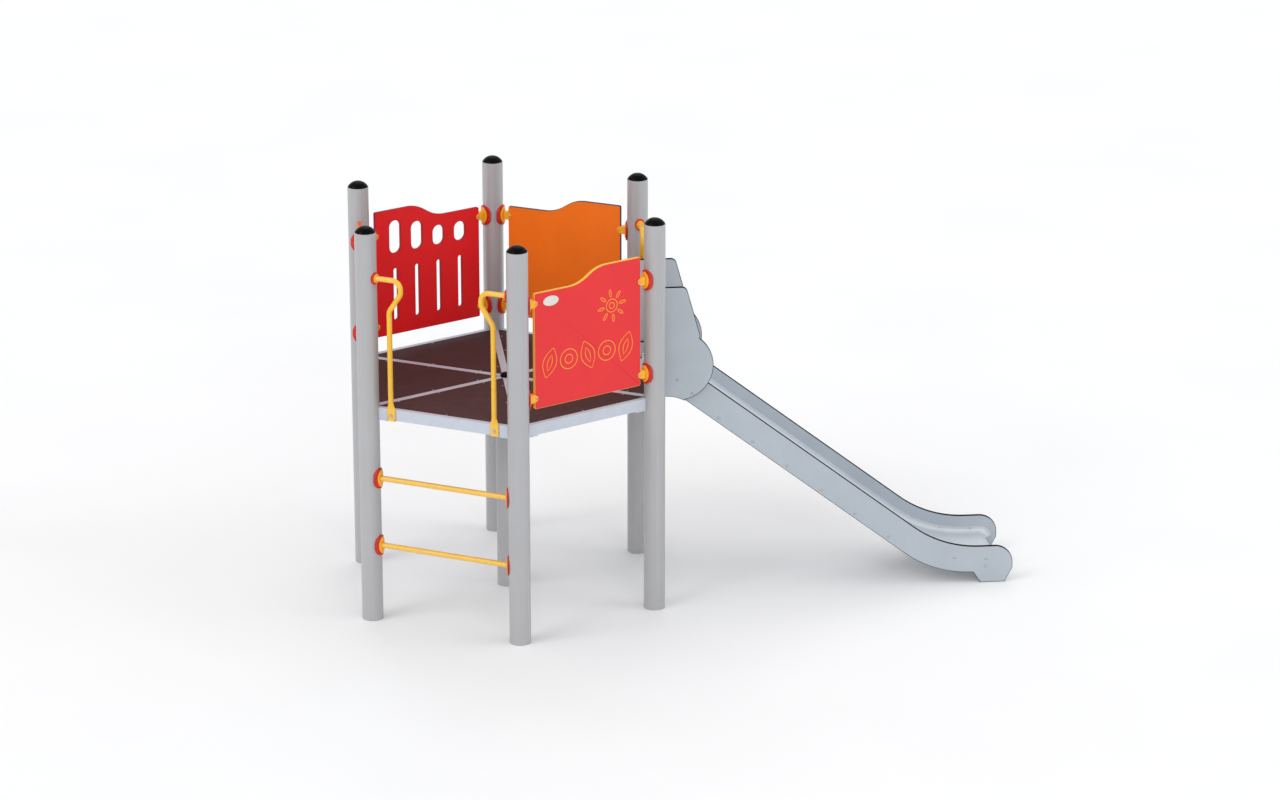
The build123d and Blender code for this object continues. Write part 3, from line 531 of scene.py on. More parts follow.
@dataclass
class Forge:
    """Turns shaped meshes into finished pieces that ride on the frame."""

    body: str = "root"
    smooth_angle: float = math.radians(34.0)

    def piece(
        self,
        shape: bmesh.types.BMesh,
        name: str,
        slot: str,
        paints: list[Paint],
        nodes: tuple[str, ...] = (),
        flat_weight: bool = False,
    ) -> bpy.types.Object:
        """Makes an object of the shape, dresses it and puts it in place of its CAD nodes.

        Args:
            shape: The shape, which is freed afterwards.
            name: Name of the piece.
            slot: Material slot of the record; not used.
            paints: Finishes in the order of the faces' material numbers.
            nodes: CAD nodes that the piece stands for.
            flat_weight: Whether broad flat faces keep their own shading at soft edges.

        Returns:
            The finished object.
        """
        mesh = bpy.data.meshes.new(name)
        shape.to_mesh(mesh)
        shape.free()
        for paint in paints:
            mesh.materials.append(paint.material)
        mesh.polygons.foreach_set("use_smooth", [True] * len(mesh.polygons))
        mesh.set_sharp_from_angle(angle=self.smooth_angle)
        piece = bpy.data.objects.new(name, mesh)
        bpy.context.scene.collection.objects.link(piece)
        if flat_weight:
            weight = piece.modifiers.new("even_shading", "WEIGHTED_NORMAL")
            weight.keep_sharp = True
            weight.weight = 90
        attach(piece, self.body)
        if nodes:
            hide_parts(*nodes)
        LOG.info("%s: %d faces", name, len(mesh.polygons))
        return piece

    @staticmethod
    def copy_of(node: str, weld: float = 0.00002) -> bmesh.types.BMesh:
        """Copies a CAD node's mesh and merges the points that nearly meet.

        Args:
            node: Name of the CAD node.
            weld: Distance in metres below which points are merged.

        Returns:
            The copy.
        """
        shape = bmesh.new()
        shape.from_mesh(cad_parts[node].data)
        bmesh.ops.remove_doubles(shape, verts=shape.verts, dist=weld)
        return shape

    @staticmethod
    def whole_faces(shape: bmesh.types.BMesh, turn: float = 0.6) -> None:
        """Joins the loose triangles of flat faces.

        Args:
            shape: Shape to work on.
            turn: Largest turn between triangles of one face, in degrees.
        """
        bmesh.ops.dissolve_limit(
            shape,
            angle_limit=math.radians(turn),
            use_dissolve_boundaries=False,
            verts=shape.verts,
            edges=shape.edges,
            delimit={"NORMAL"},
        )

    @staticmethod
    def chains(edges: list[bmesh.types.BMEdge]) -> list[list[bmesh.types.BMEdge]]:
        """Sorts edges into connected chains.

        Args:
            edges: Edges to sort.

        Returns:
            The chains, in the order of their first edges.
        """
        left = set(edges)
        found = []
        for start in edges:
            if start not in left:
                continue
            left.discard(start)
            chain = [start]
            for edge in chain:
                for vert in edge.verts:
                    joined = [other for other in vert.link_edges if other in left]
                    left.difference_update(joined)
                    chain.extend(joined)
            found.append(chain)
        return found

    @staticmethod
    def reach(chain: list[bmesh.types.BMEdge]) -> float:
        """Length of the diagonal of a chain's box.

        Args:
            chain: Connected edges.

        Returns:
            The length in metres.
        """
        spots = [vert.co for edge in chain for vert in edge.verts]
        low = Vector([min(spot[i] for spot in spots) for i in range(3)])
        high = Vector([max(spot[i] for spot in spots) for i in range(3)])
        return (high - low).length

    @staticmethod
    def round_edges(
        shape: bmesh.types.BMesh,
        width: float,
        segments: int,
        sharper_than: float,
        clamped: bool = True,
        smallest: float = 0.0,
    ) -> None:
        """Rounds every edge that turns more than an angle.

        Args:
            shape: Shape to work on.
            width: Width of the rounding in metres.
            segments: Steps across the rounding.
            sharper_than: Smallest turn between two faces, in degrees, that is rounded.
            clamped: Whether short edges hold the whole rounding back.
            smallest: Holes whose rim is smaller than this, in metres, stay sharp.
        """
        shortest = 0.000002
        limit = math.radians(sharper_than)
        edges = [e for e in shape.edges if len(e.link_faces) == 2 and e.calc_face_angle(0.0) > limit]
        if smallest > 0.0:
            kept = [chain for chain in Forge.chains(edges) if Forge.reach(chain) > smallest]
            edges = [edge for chain in kept for edge in chain]
        bmesh.ops.bevel(
            shape,
            geom=edges,
            offset=width,
            offset_type="OFFSET",
            affect="EDGES",
            segments=segments,
            profile=0.5,
            material=-1,
            clamp_overlap=clamped,
            loop_slide=True,
        )
        bmesh.ops.dissolve_degenerate(shape, dist=shortest, edges=shape.edges)

    @staticmethod
    def spun(profile: list[tuple[float, float]], steps: int) -> bmesh.types.BMesh:
        """Turns a closed profile of radius and height once round the Z axis.

        Args:
            profile: Points of radius and height, in metres, in order.
            steps: Number of steps round the axis.

        Returns:
            The closed turned shape.
        """
        weld = 0.000005
        shape = bmesh.new()
        ring = [shape.verts.new((radius, 0.0, height)) for radius, height in profile]
        edges = [shape.edges.new((ring[i - 1], ring[i])) for i in range(len(ring))]
        bmesh.ops.spin(
            shape,
            geom=ring + edges,
            cent=(0.0, 0.0, 0.0),
            axis=(0.0, 0.0, 1.0),
            angle=math.tau,
            steps=steps,
            use_merge=True,
        )
        bmesh.ops.remove_doubles(shape, verts=shape.verts, dist=weld)
        loose = [e for e in shape.edges if not e.link_faces]
        bmesh.ops.delete(shape, geom=loose, context="EDGES")
        bmesh.ops.recalc_face_normals(shape, faces=shape.faces)
        return shape

    @staticmethod
    def scattered(pattern: bmesh.types.BMesh, places: list[Matrix]) -> bmesh.types.BMesh:
        """Copies a pattern to each place.

        Args:
            pattern: Shape to copy, which is freed afterwards.
            places: Place of each copy.

        Returns:
            All the copies as one shape.
        """
        mesh = bpy.data.meshes.new("pattern")
        pattern.to_mesh(mesh)
        pattern.free()
        shape = bmesh.new()
        for place in places:
            before = len(shape.verts)
            shape.from_mesh(mesh)
            shape.verts.ensure_lookup_table()
            bmesh.ops.transform(shape, matrix=place, verts=shape.verts[before:])
        bpy.data.meshes.remove(mesh)
        return shape

    @staticmethod
    def lumps(node: str) -> list[tuple[Vector, Vector]]:
        """Lowest and highest corners of each separate solid in a CAD node.

        Args:
            node: Name of the CAD node.

        Returns:
            One pair of corners for each solid.
        """
        shape = Forge.copy_of(node)
        left = set(shape.verts)
        found = []
        while left:
            start = left.pop()
            group = [start]
            queue = [start]
            while queue:
                for edge in queue.pop().link_edges:
                    for other in edge.verts:
                        if other in left:
                            left.discard(other)
                            group.append(other)
                            queue.append(other)
            low = Vector([min(v.co[i] for v in group) for i in range(3)])
            high = Vector([max(v.co[i] for v in group) for i in range(3)])
            found.append((low, high))
        shape.free()
        return found


@dataclass
class Site:
    """Where things stand on the hexagon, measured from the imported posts."""

    radius: float = 0.0
    post_radius: float = 0.0
    post_top: float = 0.0

    def __post_init__(self) -> None:
        """Reads the hexagon's size off the posts."""
        low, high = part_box("post_2")
        self.post_radius = (high.x - low.x) / 2.0
        self.radius = -low.y - self.post_radius
        self.post_top = high.z

    def post(self, number: int, height: float = 0.0) -> Vector:
        """Centre of a post at a height."""
        angle = FIRST_POST + math.tau / SIDES * (number - 1)
        return Vector((self.radius * math.cos(angle), self.radius * math.sin(angle), height))

    def run(self, side: int) -> Vector:
        """Direction of a side, from its first post to its second."""
        return (self.post(side % SIDES + 1) - self.post(side)).normalized()

    def outward(self, side: int) -> Vector:
        """Outward direction of a side."""
        return self.run(side).cross(Vector((0.0, 0.0, 1.0)))

    def on_side(self, side: int, along: float, height: float, out: float = 0.0) -> Matrix:
        """Place on a side whose X runs along it, whose Y is up and whose Z points outwards.

        Args:
            side: Number of the side.
            along: Distance from its first post.
            height: Height above the ground.
            out: Distance outwards from the line between the posts.

        Returns:
            The place as a matrix.
        """
        x_axis, z_axis = self.run(side), self.outward(side)
        spot = self.post(side) + x_axis * along + z_axis * out + Vector((0.0, 0.0, height))
        turn = Matrix((x_axis, Vector((0.0, 0.0, 1.0)), z_axis)).transposed().to_4x4()
        return Matrix.Translation(spot) @ turn


# ------------------------------------------------------------------------------- the tower


@dataclass
class Posts:
    """Six corner posts and the middle post, with their black caps."""

    site: Site
    forge: Forge
    wall: float = 0.004
    lip: float = 0.0012
    steps: int = 96
    rim_inset: float = 0.0025
    flange: float = 0.003
    eased: float = 0.001
    skirt_radius: float = 0.0526
    hollow_radius: float = 0.044
    hollow_depth: float = 0.02
    dome_steps: int = 14
    cap_steps: int = 72

    def tube(self, top: float) -> bmesh.types.BMesh:
        """Open tube from the ground to a height, with eased lips.

        Args:
            top: Height of the upper lip.

        Returns:
            The tube.
        """
        outer, inner, lip = self.site.post_radius, self.site.post_radius - self.wall, self.lip
        profile = [
            (outer - lip, 0.0), (outer, lip), (outer, top - lip), (outer - lip, top),
            (inner + lip * 0.5, top), (inner, top - lip), (inner, lip), (inner + lip * 0.5, 0.0),
        ]
        return self.forge.spun(profile, self.steps)

    def cap(self) -> bmesh.types.BMesh:
        """Domed plug with a rolled rim and a hollow skirt inside the tube.

        Returns:
            The cap of a post that stands on the origin.
        """
        low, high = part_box("post_caps")
        base = self.site.post_top
        rim = self.site.post_radius - self.rim_inset
        shoulder = base + self.flange
        rise = high.z - base - self.flange
        bulge = (rim**2 + rise**2) / (2.0 * rise)
        skirt, hollow, roof = self.skirt_radius, self.hollow_radius, low.z + self.hollow_depth
        profile = [
            (0.0, roof), (hollow, roof), (hollow, low.z), (skirt, low.z + 2.0 * self.eased),
            (skirt, base - self.eased), (rim - self.eased, base), (rim, base + self.lip), (rim, shoulder),
        ]
        for step in range(1, self.dome_steps + 1):
            radius = rim * (1.0 - step / self.dome_steps)
            profile.append((radius, shoulder + math.sqrt(bulge**2 - radius**2) - (bulge - rise)))
        return self.forge.spun(profile, self.cap_steps)

    def build(self) -> None:
        """Makes the posts and the caps."""
        for number in range(1, SIDES + 1):
            shape = self.tube(self.site.post_top)
            bmesh.ops.translate(shape, verts=shape.verts, vec=self.site.post(number))
            self.forge.piece(shape, f"corner_post_{number}", "post_steel", [Paint.POST], (f"post_{number}",))
        middle = self.tube(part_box("centre_post")[1].z)
        self.forge.piece(middle, "middle_post", "post_steel", [Paint.POST], ("centre_post",))
        places = [Matrix.Translation(self.site.post(n)) for n in range(1, SIDES + 1)]
        caps = self.forge.scattered(self.cap(), places)
        self.forge.piece(caps, "domed_caps", "black_plastic", [Paint.CAP], ("post_caps",))


@dataclass
class Deck:
    """Steel frame, plywood boards and small fixings of the platform."""

    forge: Forge
    fold: float = 0.0014
    eased: float = 0.0012
    bolt_edge: float = 0.0006
    level_face: float = 0.9
    screw_steps: int = 12
    dome_lip: float = 0.001
    dome_side: float = 0.005
    dome_shoulder: float = 0.006
    dome_rings: int = 10
    dome_steps: int = 48

    def folded(self, node: str, name: str) -> None:
        """Gives a folded steel member its small outer radii.

        Args:
            node: CAD node of the member.
            name: Name of the piece.
        """
        shape = self.forge.copy_of(node)
        self.forge.whole_faces(shape)
        self.forge.round_edges(shape, self.fold, 2, FOLD_TURN)
        self.forge.piece(shape, name, "frame_paint", [Paint.FRAME], (node,), True)

    def board(self, number: int) -> None:
        """Dresses a board with its pressed film on top and its sealed ply edges.

        Args:
            number: Number of the board.
        """
        node = f"deck_board_{number}"
        shape = self.forge.copy_of(node)
        self.forge.whole_faces(shape)
        self.forge.round_edges(shape, self.eased, 2, FOLD_TURN)
        for face in shape.faces:
            face.material_index = 0 if abs(face.normal.z) > self.level_face else 1
        self.forge.piece(shape, f"board_{number}", "deck_ply", [Paint.DECK, Paint.DECK_EDGE], (node,), True)

    def screws(self) -> None:
        """Countersunk screws with a round recess in the head."""
        pattern = self.forge.spun(
            [(0.0, -0.0022), (0.0017, -0.0022), (0.0022, 0.0), (0.0054, -0.0001), (0.0059, -0.0006),
             (0.003, -0.0035), (0.003, -0.0165), (0.0, -0.0175)],
            self.screw_steps,
        )
        places = []
        for low, high in self.forge.lumps("board_screws"):
            middle = (low + high) / 2.0
            places.append(Matrix.Translation((middle.x, middle.y, high.z)))
        shape = self.forge.scattered(pattern, places)
        self.forge.piece(shape, "deck_screws", "steel", [Paint.STEEL], ("board_screws",))

    def hub_cap(self) -> None:
        """Low black dome over the middle of the frame."""
        low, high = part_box("hub_cap")
        radius, lip = high.x, self.dome_lip
        profile = [
            (0.0, low.z), (radius - lip, low.z), (radius, low.z + lip), (radius, low.z + self.dome_side),
        ]
        rise = high.z - low.z - self.dome_shoulder
        for step in range(self.dome_rings + 1):
            turn = math.radians(90.0 * step / self.dome_rings)
            height = low.z + self.dome_shoulder + rise * math.sin(turn)
            profile.append(((radius - lip) * math.cos(turn), height))
        shape = self.forge.spun(profile, self.dome_steps)
        self.forge.piece(shape, "hub_dome", "black_plastic", [Paint.CAP], ("hub_cap",))

    def build(self) -> None:
        """Makes the whole platform."""
        for number in range(1, SIDES + 1):
            self.folded(f"deck_rim_{number}", f"rim_beam_{number}")
            self.folded(f"deck_spoke_{number}", f"spoke_{number}")
            self.board(number)
        self.folded("deck_hub", "hub_core")
        self.folded("corner_plates", "lug_plates")
        self.screws()
        self.hub_cap()
        bolts = self.forge.copy_of("frame_bolts")
        self.forge.whole_faces(bolts)
        self.forge.round_edges(bolts, self.bolt_edge, 2, FITTING_TURN)
        self.forge.piece(bolts, "frame_bolt_set", "steel", [Paint.STEEL], ("frame_bolts",), True)


@dataclass
class Fittings:
    """Red saddles, yellow bosses and clips, and the screws that hold the clips."""

    site: Site
    forge: Forge
    barrier_sides: tuple[int, ...] = (2, 4, 5, 6)
    head_seat: float = 0.0145
    screw_steps: int = 18
    clip_edge: float = 0.0008
    stud_edge: float = 0.0005

    def moulding(self, node: str, name: str, paint: Paint, slot: str, edge: float = 0.0) -> None:
        """Dresses a moulded fitting, and eases its edges if asked.

        Args:
            node: CAD node of the fitting.
            name: Name of the piece.
            paint: Finish of the piece.
            slot: Material slot of the record.
            edge: Width of the eased edge in metres.
        """
        shape = self.forge.copy_of(node)
        if edge > 0.0:
            self.forge.whole_faces(shape)
            self.forge.round_edges(shape, edge, 2, FITTING_TURN)
        self.forge.piece(shape, name, slot, [paint], (node,), edge > 0.0)

    def clip_screws(self) -> None:
        """Pan-head screw on each cheek of each clip, with a round socket."""
        pattern = self.forge.spun(
            [(0.0, -0.002), (0.0022, -0.002), (0.0026, 0.0026), (0.0036, 0.003), (0.005, 0.0022),
             (0.0059, 0.0008), (0.006, 0.0), (0.0, -0.0028)],
            self.screw_steps,
        )
        places = []
        for low, high in self.forge.lumps("clip_bolts"):
            middle = (low + high) / 2.0
            side = min(
                self.barrier_sides,
                key=lambda s: abs((middle - self.site.post(s)).dot(self.site.outward(s))),
            )
            along = (middle - self.site.post(side)).dot(self.site.run(side))
            for turn, out in ((0.0, self.head_seat), (math.pi, -self.head_seat)):
                place = self.site.on_side(side, along, middle.z, out)
                places.append(place @ Matrix.Rotation(turn, 4, "X"))
        shape = self.forge.scattered(pattern, places)
        self.forge.piece(shape, "clip_screw_heads", "steel", [Paint.STEEL], ("clip_bolts",))

    def build(self) -> None:
        """Makes every fitting."""
        red = (Paint.SADDLE, "red_fitting")
        yellow = (Paint.BOSS, "yellow_fitting")
        self.moulding("saddles", "saddle_discs", *red)
        self.moulding("handle_saddles", "handle_discs", *red)
        for node in ("panel_bosses", "rung_bosses", "handle_bosses"):
            self.moulding(node, f"{node.removesuffix('es')}_set", *yellow)
        self.moulding("panel_clips", "panel_clip_set", *yellow, self.clip_edge)
        self.moulding("saddle_studs", "saddle_stud_set", Paint.STEEL, "steel", self.stud_edge)
        self.clip_screws()


@dataclass
class Plates:
    """Flat sheets with rounded, machined edges: the barrier panels, wings and slide walls."""

    site: Site
    forge: Forge
    edge: float = 0.0022
    steps: int = 3
    bolt_hole: float = 0.02
    sharp_turn: float = 70.0
    broad_face: float = 0.9995

    def plate(
        self, node: str, name: str, normal: Vector, skin: Paint, core: Paint, slot: str
    ) -> bpy.types.Object:
        """Rounds a sheet's edges and shows its core there.

        Args:
            node: CAD node of the sheet.
            name: Name of the piece.
            normal: Direction square to the sheet.
            skin: Finish of the two broad faces.
            core: Finish of the machined edges.
            slot: Material slot of the record.

        Returns:
            The finished object.
        """
        shape = self.forge.copy_of(node)
        self.forge.whole_faces(shape)
        self.forge.round_edges(shape, self.edge, self.steps, self.sharp_turn, False, self.bolt_hole)
        for face in shape.faces:
            face.material_index = 0 if abs(face.normal.dot(normal)) > self.broad_face else 1
        return self.forge.piece(shape, name, slot, [skin, core], (node,), True)


@dataclass
class Engraving:
    """Sun and leaf outlines cut through the front panel's red skin to its yellow core."""

    site: Site
    side: int = 2
    depth: float = 0.0012
    stroke: float = 0.0038
    face: float = 0.0095
    steps: int = 40
    taper: float = 0.75
    sun: tuple[float, float] = (0.594, 1.764)
    sun_rings: tuple[float, ...] = (0.037, 0.018)
    rays: int = 8
    ray_reach: float = 0.069
    ray_turn: float = 8.0
    ray_half: tuple[float, float] = (0.022, 0.0085)
    row_height: float = 1.523
    row_start: float = 0.195
    row_pitch: float = 0.122
    row_tilts: tuple[float, ...] = (72.0, 0.0, 108.0, 0.0, 72.0)
    leaf_halves: tuple[tuple[float, float], ...] = ((0.082, 0.045), (0.045, 0.016))
    leaf_point: float = 0.8
    row_rings: tuple[float, ...] = (0.056, 0.026)

    def oval(
        self, shape: bmesh.types.BMesh, length: float, width: float, point: float, level: float
    ) -> list[bmesh.types.BMVert]:
        """Adds one closed loop of points to a cutter.

        Args:
            shape: Cutter that takes the points.
            length: Half length of the loop.
            width: Half width of the loop.
            point: How far the ends are drawn to a point.
            level: Height of the loop over the panel's face.

        Returns:
            The loop's points in order.
        """
        loop = []
        for step in range(self.steps):
            turn = math.tau * step / self.steps
            across = math.cos(turn)
            taper = 1.0 - point * self.taper * across**2
            loop.append(shape.verts.new((length * across, width * taper * math.sin(turn), level)))
        return loop

    def ring(
        self, along: float, height: float, half: tuple[float, float], turn: float, point: float = 0.0
    ) -> bmesh.types.BMesh:
        """Outline of an oval or a leaf as a thin cutter that reaches into the sheet.

        Args:
            along: Middle of the outline along the side.
            height: Middle of the outline above the ground.
            half: Half length and half width.
            turn: Angle of the length above the level, in degrees.
            point: How far the ends are drawn to a point, from 0 for an oval to 1 for a leaf.

        Returns:
            The closed cutter.
        """
        shape = bmesh.new()
        loops = []
        for level in (-self.depth, self.depth):
            for inset in (0.0, self.stroke):
                loops.append(self.oval(shape, half[0] - inset, half[1] - inset, point, level))
        low_outer, low_inner, high_outer, high_inner = loops
        around = [low_outer, low_inner, high_inner, high_outer]
        for first, second in zip(around, around[1:] + around[:1]):
            for step in range(self.steps):
                shape.faces.new((first[step - 1], first[step], second[step], second[step - 1]))
        bmesh.ops.recalc_face_normals(shape, faces=shape.faces)
        place = self.site.on_side(self.side, along, height, self.face)
        place = place @ Matrix.Rotation(math.radians(turn), 4, "Z")
        bmesh.ops.transform(shape, matrix=place, verts=shape.verts)
        return shape

    def outlines(self) -> list[bmesh.types.BMesh]:
        """Cutters of the sun with its rays and of the row of leaves and rings.

        Returns:
            One closed cutter for each outline.
        """
        sun_along, sun_height = self.sun
        cuts = [self.ring(sun_along, sun_height, (half, half), 0.0) for half in self.sun_rings]
        for step in range(self.rays):
            turn = 360.0 / self.rays * step + self.ray_turn
            along = sun_along + self.ray_reach * math.cos(math.radians(turn))
            height = sun_height + self.ray_reach * math.sin(math.radians(turn))
            cuts.append(self.ring(along, height, self.ray_half, turn))
        for step, tilt in enumerate(self.row_tilts):
            along = self.row_start + self.row_pitch * step
            if step % 2 == 0:
                for half in self.leaf_halves:
                    cuts.append(self.ring(along, self.row_height, half, tilt, self.leaf_point))
            else:
                for half in self.row_rings:
                    cuts.append(self.ring(along, self.row_height, (half, half), 0.0))
        return cuts

    def carve(self, panel: bpy.types.Object) -> None:
        """Cuts the outlines into the panel and leaves its core showing in them.

        Args:
            panel: The dressed front panel.
        """
        tool_mesh = bpy.data.meshes.new("engraving_tool")
        whole = bmesh.new()
        for cut in self.outlines():
            part = bpy.data.meshes.new("engraving_part")
            cut.to_mesh(part)
            cut.free()
            whole.from_mesh(part)
            bpy.data.meshes.remove(part)
        whole.to_mesh(tool_mesh)
        whole.free()
        tool_mesh.materials.append(Paint.FRONT_EDGE.material)
        tool = bpy.data.objects.new("engraving_tool", tool_mesh)
        bpy.context.scene.collection.objects.link(tool)
        cutter = panel.modifiers.new("engraving", "BOOLEAN")
        cutter.operation = "DIFFERENCE"
        cutter.solver = "EXACT"
        cutter.material_mode = "TRANSFER"
        cutter.object = tool
        while panel.modifiers[0] != cutter:
            index = list(panel.modifiers).index(cutter)
            panel.modifiers.move(index, index - 1)
        bpy.context.view_layer.update()
        even = [m for m in panel.modifiers if m.type == "WEIGHTED_NORMAL"]
        for modifier in even:
            modifier.show_viewport = False
        bpy.context.view_layer.update()
        evaluated = panel.evaluated_get(bpy.context.evaluated_depsgraph_get())
        carved = bpy.data.meshes.new_from_object(evaluated)
        old = panel.data
        panel.modifiers.remove(cutter)
        panel.data = carved
        bpy.data.meshes.remove(old)
        for modifier in even:
            modifier.show_viewport = True
        bpy.data.objects.remove(tool)
        bpy.data.meshes.remove(tool_mesh)
        LOG.info("%s: engraved, %d faces", panel.name, len(carved.polygons))


@dataclass
class Panels(Plates):
    """The four barrier panels and the blank badge on the front one."""

    sides: dict[str, int] = field(default_factory=lambda: {"front": 2, "rear": 4, "window": 5, "end": 6})
    panel_face: float = 0.0095
    badge_steps: int = 64
    badge_height: float = 0.0019
    badge_rim: float = 0.003
    badge_slope: float = 0.0008
    badge_sink: float = 0.0006
    badge_edge: float = 0.0004
    badge_turn: float = 40.0

    def badge(self) -> None:
        """Blank oval plate with a raised rim."""
        low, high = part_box("badge_plate")
        middle = (low + high) / 2.0
        side = self.sides["front"]
        along = (middle - self.site.post(side)).dot(self.site.run(side))
        shape = bmesh.new()
        bmesh.ops.create_circle(shape, cap_ends=True, segments=self.badge_steps, radius=1.0)
        half_height = (high.z - low.z) / 2.0
        half_length = (high.x - low.x) / 2.0 / self.site.run(side).x
        bmesh.ops.scale(shape, vec=(half_length, half_height, 1.0), verts=shape.verts)
        made = bmesh.ops.extrude_face_region(shape, geom=shape.faces[:], use_keep_orig=True)
        lifted = [v for v in made["geom"] if isinstance(v, bmesh.types.BMVert)]
        bmesh.ops.translate(shape, verts=lifted, vec=(0.0, 0.0, self.badge_height))
        bmesh.ops.recalc_face_normals(shape, faces=shape.faces)
        top = max(shape.faces, key=lambda f: f.calc_center_median().z)
        bmesh.ops.inset_region(shape, faces=[top], thickness=self.badge_rim, use_even_offset=True)
        bmesh.ops.inset_region(
            shape, faces=[top], thickness=self.badge_slope, depth=-self.badge_sink, use_even_offset=True
        )
        self.forge.round_edges(shape, self.badge_edge, 2, self.badge_turn)
        place = self.site.on_side(side, along, middle.z, self.panel_face)
        bmesh.ops.transform(shape, matrix=place, verts=shape.verts)
        self.forge.piece(shape, "blank_badge", "white_plastic", [Paint.PLATE], ("badge_plate",), True)

    def build(self) -> None:
        """Makes the four panels."""
        dress = {
            "front": (Paint.FRONT, Paint.FRONT_EDGE, "front_board"),
            "rear": (Paint.ORANGE, Paint.ORANGE_EDGE, "orange_board"),
            "window": (Paint.RED, Paint.RED_EDGE, "red_board"),
            "end": (Paint.ORANGE, Paint.END_EDGE, "orange_board"),
        }
        made = {}
        for name, side in self.sides.items():
            skin, core, slot = dress[name]
            normal = self.site.outward(side)
            made[name] = self.plate(f"{name}_panel", f"{name}_barrier", normal, skin, core, slot)
        Engraving(self.site).carve(made["front"])
        self.badge()


@dataclass
class Climbing:
    """Yellow rungs and grab handles."""

    forge: Forge

    def build(self) -> None:
        """Dresses the tubes."""
        for node in ("lower_rung", "upper_rung"):
            shape = self.forge.copy_of(node)
            self.forge.piece(shape, f"{node}_tube", "yellow_tube", [Paint.TUBE], (node,))
        for number in (1, 2, 3, 4):
            shape = self.forge.copy_of(f"handle_{number}", 0.000001)
            name = f"grab_handle_{number}"
            self.forge.piece(shape, name, "yellow_tube", [Paint.TUBE], (f"handle_{number}",))


@dataclass
class Slide(Plates):
    """Side walls, wings, stainless trough, cross tubes and their fixings."""

    edge: float = 0.0036
    bracket_bolt_span: float = 0.021
    head_seat: float = 0.004
    bolt_steps: int = 24
    bolt_edge: float = 0.0006
    bracket_edge: float = 0.0008

    def bolts(self) -> None:
        """Button-head bolts with round sockets on the outer faces, over the plain shanks."""
        pattern = self.forge.spun(
            [(0.0, 0.0012), (0.0026, 0.0012), (0.0029, 0.004), (0.0044, 0.0039), (0.0064, 0.0028),
             (0.0077, 0.0012), (0.008, 0.0), (0.004, 0.0), (0.004, -0.03), (0.0, -0.0305)],
            self.bolt_steps,
        )
        places = []
        upright = []
        for low, high in self.forge.lumps("slide_bolts"):
            if high.y - low.y < self.bracket_bolt_span:
                upright.append((low, high))
                continue
            middle = (low + high) / 2.0
            side = 1.0 if middle.y > 0.0 else -1.0
            outer = (high.y if side > 0.0 else -low.y) - self.head_seat
            turn = Matrix.Rotation(-side * math.pi / 2.0, 4, "X")
            places.append(Matrix.Translation((middle.x, side * outer, middle.z)) @ turn)
        shape = self.forge.scattered(pattern, places)
        self.add_bracket_bolts(shape, upright)
        self.forge.piece(shape, "slide_bolt_heads", "steel", [Paint.STEEL], ("slide_bolts",))

    def add_bracket_bolts(self, shape: bmesh.types.BMesh, boxes: list[tuple[Vector, Vector]]) -> None:
        """Adds the hexagonal bolts that hold the slide's brackets to the deck rim.

        Args:
            shape: Shape that takes the bolts.
            boxes: Lowest and highest corners of each bolt.
        """
        bolts = self.forge.copy_of("slide_bolts")
        slack = 0.0001

        def outside(spot: Vector) -> bool:
            """Whether a point lies outside every bolt's box."""
            return not any(
                all(low[i] - slack < spot[i] < high[i] + slack for i in range(3)) for low, high in boxes
            )

        bmesh.ops.delete(bolts, geom=[v for v in bolts.verts if outside(v.co)], context="VERTS")
        self.forge.whole_faces(bolts)
        self.forge.round_edges(bolts, self.bolt_edge, 2, FITTING_TURN)
        mesh = bpy.data.meshes.new("bracket_bolts")
        bolts.to_mesh(mesh)
        bolts.free()
        shape.from_mesh(mesh)
        bpy.data.meshes.remove(mesh)

    def build(self) -> None:
        """Makes the slide."""
        across = Vector((0.0, 1.0, 0.0))
        for node in ("chute_wall_right", "chute_wall_left", "wing_right", "wing_left"):
            self.plate(node, f"{node}_board", across, Paint.GREY, Paint.GREY_EDGE, "slide_board")
        trough = self.forge.copy_of("trough")
        self.forge.piece(trough, "stainless_trough", "sheet_steel", [Paint.SHEET], ("trough",))
        tubes = self.forge.copy_of("cross_tubes")
        self.forge.piece(tubes, "cross_tube_set", "steel", [Paint.STEEL], ("cross_tubes",))
        brackets = self.forge.copy_of("head_brackets")
        self.forge.whole_faces(brackets)
        self.forge.round_edges(brackets, self.bracket_edge, 2, FOLD_TURN)
        self.forge.piece(brackets, "head_bracket_pair", "steel", [Paint.STEEL], ("head_brackets",), True)
        self.bolts()


# ------------------------------------------------------------------------------- the studio


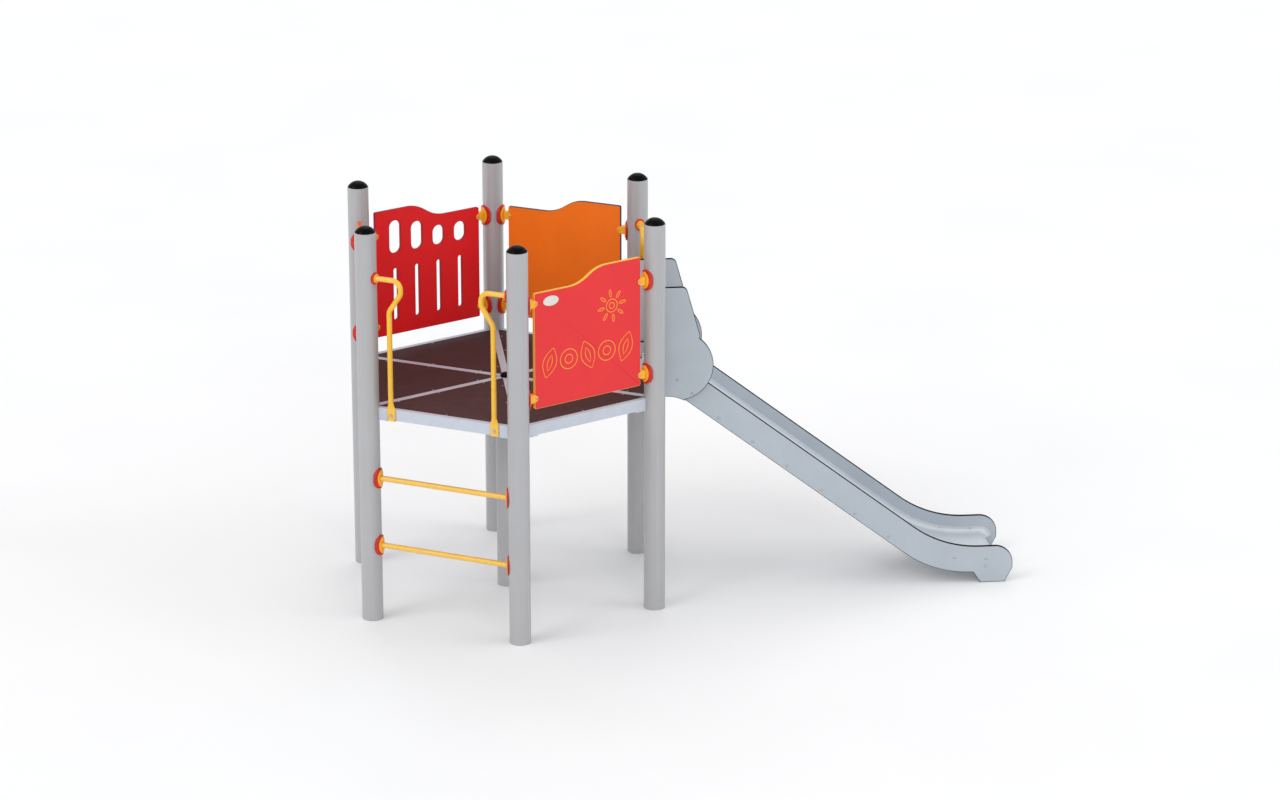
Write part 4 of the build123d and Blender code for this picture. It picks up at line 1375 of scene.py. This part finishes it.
@dataclass
class Studio:
    """Plain pale floor, soft lights and the camera."""

    eye: tuple[float, float, float] = (-1.604, -22.390, 8.573)
    pitch: float = 18.51
    yaw: float = 5.95
    lens: float = 122.74
    softness: float = math.radians(35.0)
    surround: float = 0.74
    sensor: float = 36.0
    farthest: float = 400.0
    floor_size: float = 120.0

    def floor(self) -> None:
        """Lays a wide pale floor."""
        shape = bmesh.new()
        bmesh.ops.create_grid(shape, x_segments=1, y_segments=1, size=self.floor_size)
        mesh = bpy.data.meshes.new("studio_floor")
        shape.to_mesh(mesh)
        shape.free()
        mix = Recipe("studio_floor")
        clouds = mix.noise(0.8, 2.0)
        mix.tone(mix.spread(clouds, 0.0, 1.0), (1.0, 1.0, 1.0, 1.0), 0.93, 0.95)
        mix.set(Roughness=0.9, Specular_IOR_Level=0.1)
        mesh.materials.append(mix.material)
        floor = bpy.data.objects.new("studio_floor", mesh)
        bpy.context.scene.collection.objects.link(floor)

    def sun(self, name: str, toward: tuple[float, float, float], strength: float) -> None:
        """Adds a very wide soft sun.

        Args:
            name: Name of the light.
            toward: Direction from the tower to the light.
            strength: Strength in watts per square metre.
        """
        data = bpy.data.lights.new(name, "SUN")
        data.angle = self.softness
        data.energy = strength
        lamp = bpy.data.objects.new(name, data)
        lamp.rotation_euler = (-Vector(toward)).to_track_quat("-Z", "Y").to_euler()
        bpy.context.scene.collection.objects.link(lamp)

    def sky(self) -> None:
        """Sets an even, slightly cool white surround."""
        world = bpy.data.worlds.new("surround")
        world.use_nodes = True
        back = world.node_tree.nodes["Background"]
        back.inputs["Color"].default_value = (0.97, 0.98, 1.0, 1.0)
        back.inputs["Strength"].default_value = self.surround
        bpy.context.scene.world = world

    def camera(self) -> None:
        """Places the camera."""
        data = bpy.data.cameras.new("view")
        data.lens = self.lens
        data.sensor_width = self.sensor
        data.clip_end = self.farthest
        camera = bpy.data.objects.new("view", data)
        camera.location = self.eye
        camera.rotation_euler = (math.radians(90.0 - self.pitch), 0.0, math.radians(-self.yaw))
        bpy.context.scene.collection.objects.link(camera)
        bpy.context.scene.camera = camera

    def build(self) -> None:
        """Sets up the whole studio."""
        self.floor()
        self.sky()
        self.sun("key", (-0.8, -0.4, 0.75), 0.75)
        self.sun("front", (0.1, -1.0, 0.45), 0.45)
        self.sun("fill", (0.9, -0.3, 0.6), 0.35)
        self.sun("back", (0.1, 0.8, 0.9), 0.3)
        self.camera()
        bpy.context.scene.view_settings.view_transform = "Standard"


def main() -> None:
    """Builds every sub-assembly in order, then the studio."""
    logging.basicConfig(level=logging.INFO, format="%(name)s %(message)s")
    site = Site()
    forge = Forge()
    LOG.info("hexagon radius %.3f m, post radius %.4f m", site.radius, site.post_radius)
    Posts(site, forge).build()
    Deck(forge).build()
    Fittings(site, forge).build()
    Panels(site, forge).build()
    Climbing(forge).build()
    Slide(site, forge).build()
    Studio().build()


if __name__ == "__main__":
    main()
